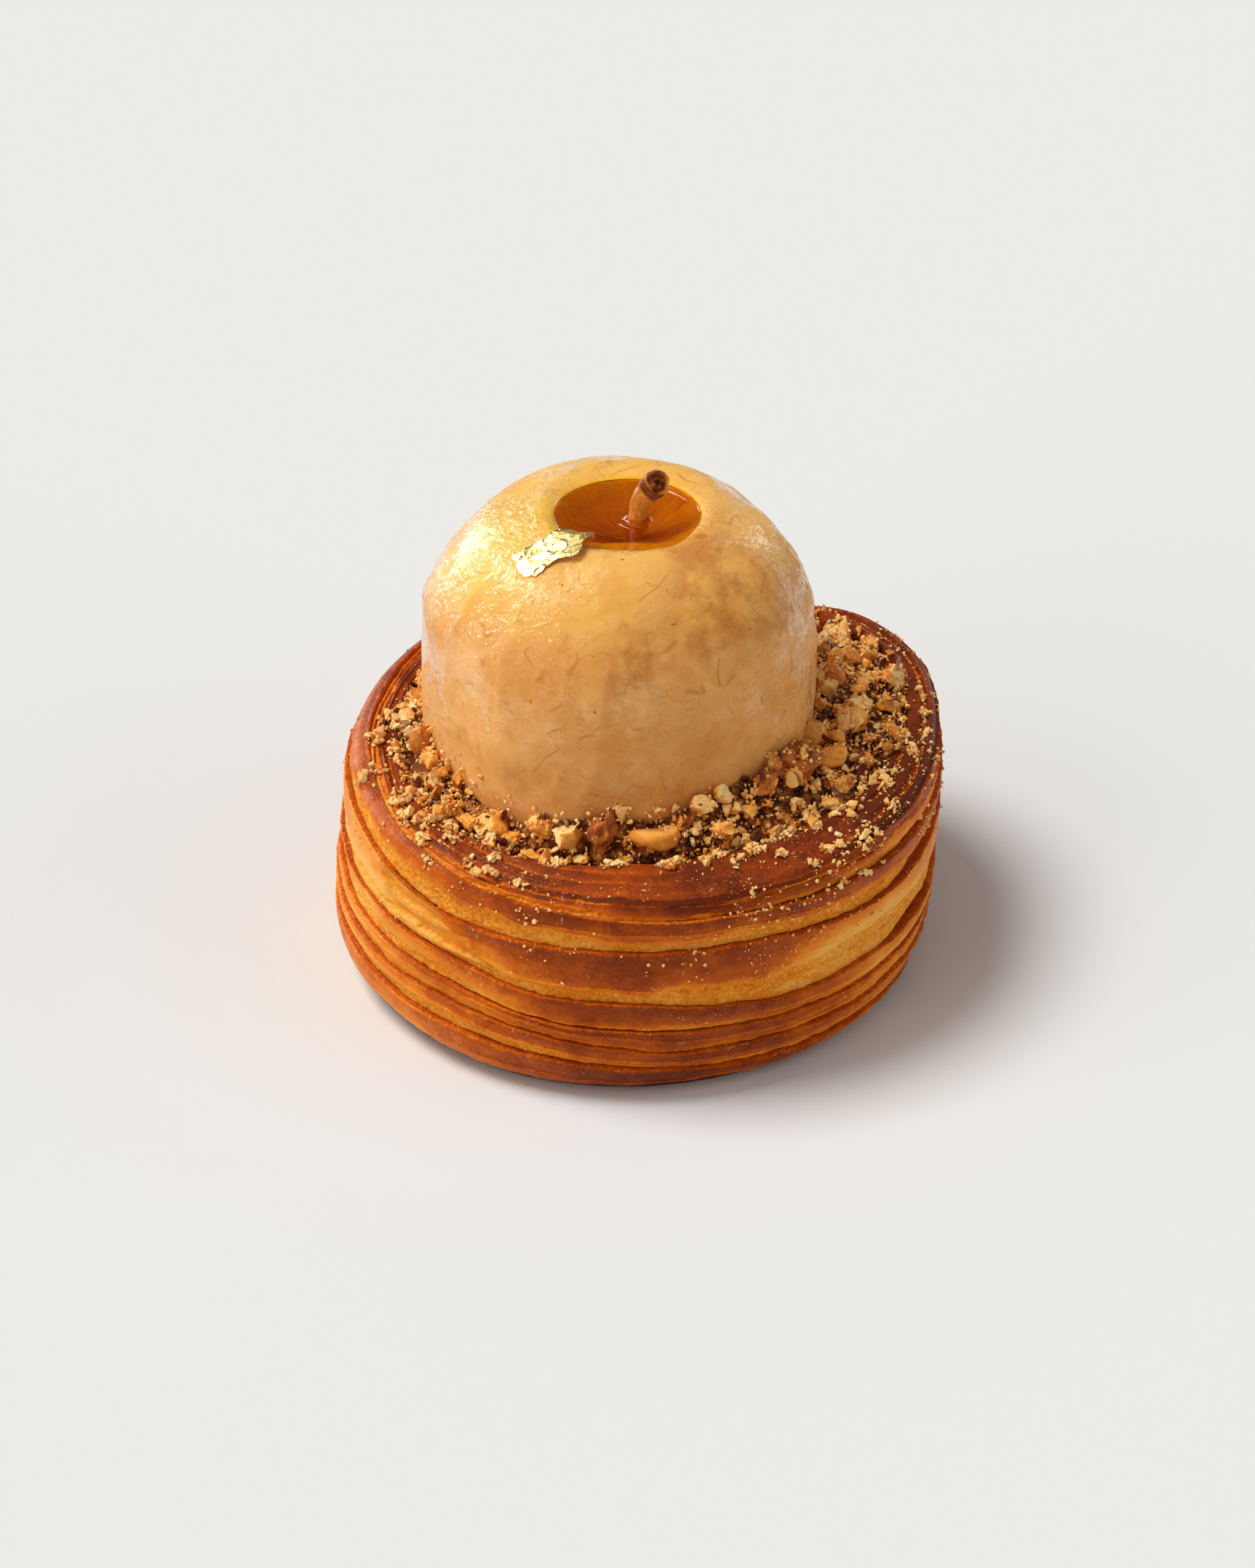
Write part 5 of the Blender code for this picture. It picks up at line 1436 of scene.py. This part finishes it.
# Pieces that the eye knows: kind, azimuth, share across the trough, (length, width, height), turn, tilt, tone
knownNuts = [
    ("half", 273, 0.42, (8.0, 5.8, 4.6), 172, 26, 0.46), ("kernel", 288, 0.06, (2.9, 2.9, 3.2), 0, 0, 0.72),
    ("cut", 241, 0.05, (5.0, 3.2, 3.0), 15, 20, 0.55), ("skin", 258, 0.10, (4.8, 4.2, 5.8), 80, 10, 0.25),
    ("cut", 247, 0.32, (5.6, 4.4, 3.6), 40, 35, 0.95), ("cut", 237, 0.06, (2.6, 2.4, 5.0), 0, 5, 0.7),
    ("cut", 239, 0.78, (5.6, 3.0, 1.9), 160, 8, 0.75), ("kernel", 224, 0.10, (7.2, 4.8, 3.8), 150, 8, 0.62),
    ("cut", 218, 0.56, (6.4, 2.8, 2.2), 140, 10, 0.8), ("kernel", 190, 0.12, (4.4, 3.8, 6.6), 20, 14, 0.42),
    ("cut", 175, 0.2, (5.2, 4.0, 3.4), 30, 25, 0.95), ("cut", 197, 0.15, (5.0, 4.0, 3.6), 60, 25, 0.9),
    ("cut", 201, 0.45, (4.4, 3.4, 3.4), 10, 40, 0.85), ("cut", 193, 0.40, (4.6, 3.6, 3.0), 110, 30, 0.95),
    ("cut", 208, 0.04, (1.9, 1.7, 5.6), 0, 6, 0.15), ("skin", 324, 0.22, (8.6, 5.8, 4.8), 38, 18, 0.30),
    ("kernel", 337, 0.46, (7.4, 3.9, 3.7), 22, 6, 0.78),
    ("kernel", 341, 0.08, (4.4, 4.2, 5.4), 0, 12, 0.55), ("kernel", 345, 0.36, (3.4, 3.2, 3.2), 0, 0, 0.85),
    ("cut", 356, 0.48, (7.0, 4.6, 4.0), 70, 20, 0.8), ("kernel", 24, 0.58, (4.4, 3.6, 3.6), 100, 0, 0.5),
    ("cut", 35, 0.75, (4.6, 3.0, 2.6), 20, 10, 0.95), ("cut", 6, 0.80, (4.4, 3.4, 3.0), 60, 30, 0.7),
    ("cut", 176, 0.50, (4.6, 3.6, 2.8), 80, 20, 0.95), ("cut", 168, 0.88, (4.0, 3.2, 2.6), 40, 15, 0.9),
    ("cut", 308, 0.86, (3.4, 2.8, 2.4), 10, 20, 0.9), ("cut", 297, 0.20, (4.4, 3.4, 3.6), 50, 25, 0.9),
    ("skin", 312, 0.30, (4.2, 3.4, 3.4), 15, 12, 0.4), ("cut", 303, 0.50, (4.4, 3.2, 3.2), 140, 30, 0.85),
    ("skin", 282, 0.30, (3.2, 2.6, 2.6), 60, 22, 0.2), ("cut", 265, 0.75, (3.0, 2.4, 2.0), 90, 10, 0.85),
    ("cut", 231, 0.42, (4.4, 3.2, 2.4), 30, 12, 0.8), ("cut", 252, 0.66, (3.6, 3.0, 2.2), 120, 10, 0.9),
    ("cut", 42, 0.95, (3.6, 3.0, 2.4), 10, 15, 0.95), ("kernel", 15, 0.25, (4.6, 3.6, 3.4), 130, 0, 0.6),
    ("cut", 330, 0.80, (3.8, 3.0, 2.8), 75, 20, 0.6), ("skin", 350, 0.70, (2.8, 2.2, 2.2), 0, 15, 0.0),
    ("cut", 60, 0.5, (5.0, 3.8, 3.2), 30, 20, 0.8), ("kernel", 85, 0.35, (6.0, 4.0, 3.8), 75, 8, 0.7),
    ("cut", 110, 0.6, (5.6, 4.0, 3.4), 130, 22, 0.85), ("skin", 130, 0.3, (5.4, 4.2, 4.0), 20, 16, 0.35),
    ("kernel", 150, 0.55, (5.2, 4.0, 3.8), 60, 5, 0.65), ("cut", 98, 0.15, (4.4, 3.2, 3.0), 0, 30, 0.9),
]

clusterGrains = {
    "more": 1.35, "size": 0.4, "larger": 1.7, "rareness": 2.4,  # across in mm; rareness makes large ones few
    "lowest": 30.0, "darkShare": 0.12, "darkTone": 0.05,
}
# Clusters of crumbs on the rim and its ledges: azimuth, radius from the rim's middle, spread in mm, grains
rimClusters = [
    (181, 44.3, 2.2, 30), (174, 41.7, 3.2, 50), (168, 38.7, 3.0, 40), (186, 40.5, 3.0, 40),
    (194, 47.8, 1.0, 9), (192, 44.8, 1.6, 14), (203, 43.6, 1.8, 18), (210, 44.6, 2.4, 36),
    (212, 42.2, 2.0, 24), (218, 46.3, 1.8, 24), (224, 49.2, 1.2, 13), (227, 51.1, 0.8, 5),
    (222, 43.0, 1.4, 9), (231, 45.0, 1.0, 7), (238, 50.9, 1.1, 9), (241, 51.0, 1.3, 10),
    (250, 50.8, 1.4, 10), (234, 41.5, 1.0, 6), (244, 45.5, 1.2, 8), (292, 39.9, 1.6, 16),
    (297, 39.1, 1.8, 18), (301, 43.0, 1.0, 8), (307, 48.2, 2.8, 16), (313, 47.6, 3.2, 26),
    (320, 47.4, 3.0, 18), (330, 47.2, 2.2, 16), (322, 41.0, 1.8, 18), (336, 43.0, 2.0, 22),
    (352, 43.2, 1.6, 14), (2, 46.8, 1.0, 12), (356, 46.7, 1.0, 12), (9, 47.2, 1.0, 12),
    (347, 45.6, 1.6, 18), (38, 42.0, 2.0, 16), (29, 39.7, 2.0, 16), (75, 41.0, 2.0, 14),
    (110, 42.5, 1.6, 12), (140, 42.0, 2.0, 14), (203, 39.2, 2.8, 46), (214, 38.4, 2.8, 46),
    (229, 37.4, 2.6, 40), (247, 36.9, 2.4, 34), (262, 36.2, 2.4, 34), (276, 35.6, 2.2, 32),
    (289, 35.6, 2.4, 34), (306, 37.0, 2.6, 30), (318, 36.6, 2.4, 26),
]


def halfNut(lengths):
    # half a hazelnut lying on its back, its split face up
    shape = roundLump(4, lengths, 0.10, 3.0)
    layer = shape.verts.layers.float.new("cut")
    for vert in shape.verts:
        away = math.hypot(vert.co.x / lengths[0], vert.co.y / lengths[1]) * 2.0
        top = 0.20 * lengths[2] - 0.03 * lengths[2] * math.exp(-(away / 0.35) ** 2)
        if vert.co.z > top:
            vert.co.z = top + 0.25 * (vert.co.z - top) + 0.10 * noise.noise(vert.co * 0.9)
            vert[layer] = 0.75 - 0.25 * math.exp(-(away / 0.35) ** 2)
        else:
            vert[layer] = 0.45
    return shape


def landing(*pieces):
    # finds the height in mm at which something dropped on these pieces lands
    ground = bmesh.new()
    for piece in pieces:
        ground.from_mesh(piece.data)
    under = BVHTree.FromBMesh(ground)
    ground.free()

    def drop(x, y):
        found = under.ray_cast(Vector((x, y, nuts["dropFrom"])) * mm, Vector((0.0, 0.0, -1.0)))[0]
        return None if found is None else found.z / mm

    return drop


def layDown(joined, shape, place, facing, tone):
    # gives one loose piece its tone, lays it in its place and adds it to the others
    layer = shape.verts.layers.float.new("tone")
    for vert in shape.verts:
        vert[layer] = tone
    shape.transform(Matrix.Scale(mm, 4) @ Matrix.Translation(place) @ facing)
    bmesh.ops.recalc_face_normals(shape, faces=shape.faces)
    joinTo(joined, shape)


def makeKnownNuts():
    drop = landing(bedPiece, pastryPieces[2])
    rng = random.Random(91)
    joined = bmesh.new()
    for kind, azimuth, share, lengths, turn, tilt, tone in knownNuts:
        if kind == "half":
            shape = halfNut(lengths)
        else:
            cuts, roughness = {"kernel": (1, 0.14), "skin": (1, 0.75), "cut": (5, 0.45)}[kind]
            shape = chopped(rng, 4, lengths, cuts, roughness)
        near = reachToApple(float(azimuth), nuts["level"])
        far = wellReach(float(azimuth), pastry["wellLip"])
        reach = max(near + (far - near) * share, near + 0.42 * lengths[1])
        x, y, _ = fromRimMiddle(reach, float(azimuth), nuts["level"])
        place = Vector((x, y, drop(x, y) + 0.36 * lengths[2]))
        facing = Matrix.Rotation(math.radians(turn), 4, "Z") @ Matrix.Rotation(math.radians(tilt), 4, "X")
        layDown(joined, shape, place, facing, tone)
    return crisp(meshFrom("knownNuts", joined))


def makeRimClusters():
    drop = landing(bedPiece, pastryPieces[1], pastryPieces[2])
    rng = random.Random(47)
    joined = bmesh.new()
    for azimuth, radius, spread, count in rimClusters:
        middleX, middleY, _ = fromRimMiddle(radius, float(azimuth), 0.0)
        for _ in range(int(clusterGrains["more"] * count)):
            larger = clusterGrains["larger"] * rng.random() ** clusterGrains["rareness"]
            across = clusterGrains["size"] + larger
            turn, away = rng.uniform(0.0, math.tau), spread * rng.random() ** 0.7
            x, y = middleX + math.cos(turn) * away, middleY + math.sin(turn) * away
            ground = drop(x, y)
            if ground is None or ground < clusterGrains["lowest"]:
                continue
            pile = 0.5 * across + 0.9 * max(0.0, 1.0 - away / spread) * rng.random()
            lengths = (across, across * rng.uniform(0.6, 0.95), across * rng.uniform(0.4, 0.8))
            shape = chopped(rng, 2, lengths, 5, 0.7)
            bright = rng.random() > clusterGrains["darkShare"]
            tone = rng.uniform(0.6, 1.0) if bright else clusterGrains["darkTone"]
            layDown(joined, shape, Vector((x, y, ground + 0.6 * pile)), anyWay(rng), tone)
    return crisp(meshFrom("rimClusters", joined))


def addDust(piece, thick):
    # upward faces of a piece catch fine crumbs
    mesh = piece.data
    normals = np.empty(len(mesh.vertices) * 3, np.float32)
    mesh.vertex_normals.foreach_get("vector", normals)
    weight = np.clip(normals[2::3] * 1.4 - 0.35, 0.0, 1.0) * thick
    mesh.attributes.new("crumbs", "FLOAT", "POINT").data.foreach_set("value", weight.astype(np.float32))


# Per square metre, spacing and sizes in mm; fewerLarge makes large ones rare; lift is a share of the size
scattered = {
    "nutChunks": {"shapes": chunkShelf, "finish": nutMeat, "seed": 3, "density": 110000.0, "spacing": 2.9,
                  "sizes": (2.4, 6.2), "fewerLarge": 1.5, "lift": 0.34},
    "rimChunks": {"shapes": chunkShelf, "finish": nutMeat, "seed": 13, "density": 150000.0, "spacing": 1.9,
                  "sizes": (1.3, 3.6), "fewerLarge": 2.0, "lift": 0.22, "weight": "spill"},
    "crumbClumps": {"shapes": clumpShelf, "finish": nutDust, "seed": 43, "density": 30000.0, "spacing": 3.6,
                    "sizes": (2.2, 5.0), "fewerLarge": 1.6, "lift": 0.16, "tilt": 0.4},
    "nutGranules": {"shapes": granuleShelf, "finish": nutMeat, "seed": 5, "density": 1.0e6, "spacing": 0.75,
                    "sizes": (0.6, 2.3), "fewerLarge": 2.6, "lift": 0.34},
    "nutDust": {"shapes": crumbShelf, "finish": nutDust, "seed": 15, "density": 2.4e6, "spacing": 0.40,
                "sizes": (0.24, 1.1), "fewerLarge": 2.2, "lift": 0.4},
    "nutMeal": {"shapes": crumbShelf, "finish": nutDust, "seed": 16, "density": 2.6e6, "spacing": 0.38,
                "sizes": (0.24, 0.95), "fewerLarge": 2.2, "lift": 0.4},
    "nutSkins": {"shapes": flakeShelf, "finish": nutSkin, "seed": 7, "density": 150000.0, "spacing": 1.7,
                 "sizes": (0.8, 3.0), "fewerLarge": 1.7, "lift": 0.35, "tilt": 1.2},
    "spillGranules": {"shapes": granuleShelf, "finish": nutMeat, "seed": 63, "density": 700000.0,
                      "spacing": 0.8, "sizes": (0.6, 2.2), "fewerLarge": 2.0, "lift": 0.25,
                      "weight": "spill"},
    "flankGranules": {"shapes": granuleShelf, "finish": nutMeat, "seed": 73, "density": 350000.0,
                      "spacing": 0.8, "sizes": (0.6, 2.2), "fewerLarge": 1.8, "lift": 0.25},
    "rimCrumbs": {"shapes": granuleShelf, "finish": nutDust, "seed": 25, "density": 240000.0, "spacing": 0.9,
                  "sizes": (0.5, 1.6), "fewerLarge": 2.4, "lift": 0.22, "node": "pastry"},
    "rimDust": {"shapes": crumbShelf, "finish": nutDust, "seed": 35, "density": 2.0e6, "spacing": 0.35,
                "sizes": (0.2, 0.85), "fewerLarge": 2.2, "lift": 0.35, "node": "pastry"},
}

_, upperPiece, rimPiece = pastryPieces
knownPiece = addPiece("knownNuts", makeKnownNuts(), nutMeat, "chopped_nut", "nuts")
chunksPiece = scatter("nutChunks", bedPiece)
spillPiece = scatter("rimChunks", rimPiece)
scatter("crumbClumps", bedPiece, rimPiece)
clustersPiece = addPiece("rimClusters", makeRimClusters(), nutDust, "chopped_nut", "nuts")
print("rim clusters made:", len(clustersPiece.data.polygons), "faces")
for piece, thick in ((knownPiece, 0.8), (chunksPiece, 0.8), (spillPiece, 0.8), (clustersPiece, 0.5)):
    addDust(piece, thick)
scatter("nutGranules", bedPiece)
scatter("nutDust", bedPiece, applePiece)
scatter("nutMeal", knownPiece, chunksPiece, spillPiece, clustersPiece)
scatter("nutSkins", bedPiece, knownPiece, chunksPiece)
scatter("spillGranules", rimPiece)
scatter("flankGranules", applePiece)
scatter("rimCrumbs", rimPiece)
scatter("rimDust", rimPiece, upperPiece)

# Floor, light and camera
floorLook = {"colour": (0.772, 0.769, 0.740), "reach": 6.0}


def makeFloor():
    mesh = bpy.data.meshes.new("floor")
    half = floorLook["reach"]
    corners = [(-half, -half, 0.0), (half, -half, 0.0), (half, half, 0.0), (-half, half, 0.0)]
    mesh.from_pydata(corners, [], [(0, 1, 2, 3)])
    finish, _, shader = newFinish("paleFloor")
    feed(shader, {"Base Color": (*floorLook["colour"], 1.0), "Roughness": 0.9, "Specular IOR Level": 0.0})
    mesh.materials.append(finish)
    floor = newObject("floor", mesh)


lights = {
    "room": {"colour": (0.96, 0.97, 1.0), "strength": 0.22, "inGloss": 0.14},
    "panelAim": (0.0, 0.0, 0.06),
    # Suns, unseen in gloss: azimuth, elevation, soft angle, strength
    "suns": [(170.0, 62.0, 28.0, 2.42), (205.0, 20.0, 60.0, 1.02), (348.0, 25.0, 60.0, 0.56)],
    # Panels, seen in gloss alone: azimuth, elevation, distance, width, height, watts
    "panels": [(133.0, 14.0, 1.1, 0.55, 0.80, 11.0), (172.0, 44.0, 1.0, 0.50, 0.36, 5.0),
               (147.0, 69.0, 1.0, 0.40, 0.34, 0.6), (52.0, 22.0, 1.1, 0.10, 0.6, 1.2),
               (97.0, 43.0, 1.2, 0.09, 0.09, 0.22), (157.0, 42.0, 1.0, 0.22, 0.22, 0.75)],
}


def towards(azimuth, elevation):
    turn, lift = math.radians(azimuth), math.radians(elevation)
    return Vector((math.cos(turn) * math.cos(lift), math.sin(turn) * math.cos(lift), math.sin(lift)))


def makeLights():
    world = bpy.data.worlds.new("softRoom")
    bpy.context.scene.world = world
    world.use_nodes = True
    tree, room = world.node_tree, lights["room"]
    glossy = addNode(tree, "ShaderNodeLightPath").outputs["Is Glossy Ray"]
    dimmer = linear(tree, glossy, room["strength"] * (room["inGloss"] - 1.0), room["strength"])
    feed(tree.nodes["Background"], {"Color": (*room["colour"], 1.0), "Strength": dimmer})
    for number, (azimuth, elevation, soft, strength) in enumerate(lights["suns"]):
        lamp = bpy.data.lights.new(f"softSun{number}", "SUN")
        lamp.energy, lamp.angle = strength, math.radians(soft)
        sun = newObject(f"softSun{number}", lamp)
        sun.rotation_euler = towards(azimuth, elevation).to_track_quat("Z", "Y").to_euler()
        sun.visible_glossy = False
    for number, (azimuth, elevation, distance, width, height, watts) in enumerate(lights["panels"]):
        lamp = bpy.data.lights.new(f"panel{number}", "AREA")
        lamp.shape = "RECTANGLE"
        lamp.size, lamp.size_y, lamp.energy = width, height, watts
        panel = newObject(f"panel{number}", lamp)
        way = towards(azimuth, elevation)
        panel.location = way * distance + Vector(lights["panelAim"])
        panel.rotation_euler = way.to_track_quat("Z", "Y").to_euler()
        panel.visible_diffuse = panel.visible_transmission = panel.visible_camera = False


view = {
    "azimuth": 270.0, "elevation": 35.5, "distance": 0.88, "lens": 120.0,
    "aimFromHollow": (0.0, -3.0), "aimHeight": 27.7,
}


def makeCamera():
    camera = bpy.data.cameras.new("camera")
    camera.lens = view["lens"]
    camera.sensor_fit = "VERTICAL"
    camera.sensor_height = 36.0
    camera.clip_end = 20.0
    eye = newObject("camera", camera)
    aim = Vector((*(hollowMiddle + view["aimFromHollow"]), view["aimHeight"])) * mm
    way = towards(view["azimuth"], view["elevation"])
    eye.location = aim + way * view["distance"]
    eye.rotation_euler = way.to_track_quat("Z", "Y").to_euler()
    bpy.context.scene.camera = eye


makeFloor()
makeLights()
makeCamera()
bpy.context.scene.view_settings.view_transform = "Standard"
for shelf in (chunkShelf, clumpShelf, granuleShelf, crumbShelf, flakeShelf):
    clearShelf(shelf)
print("floor, light and camera made")
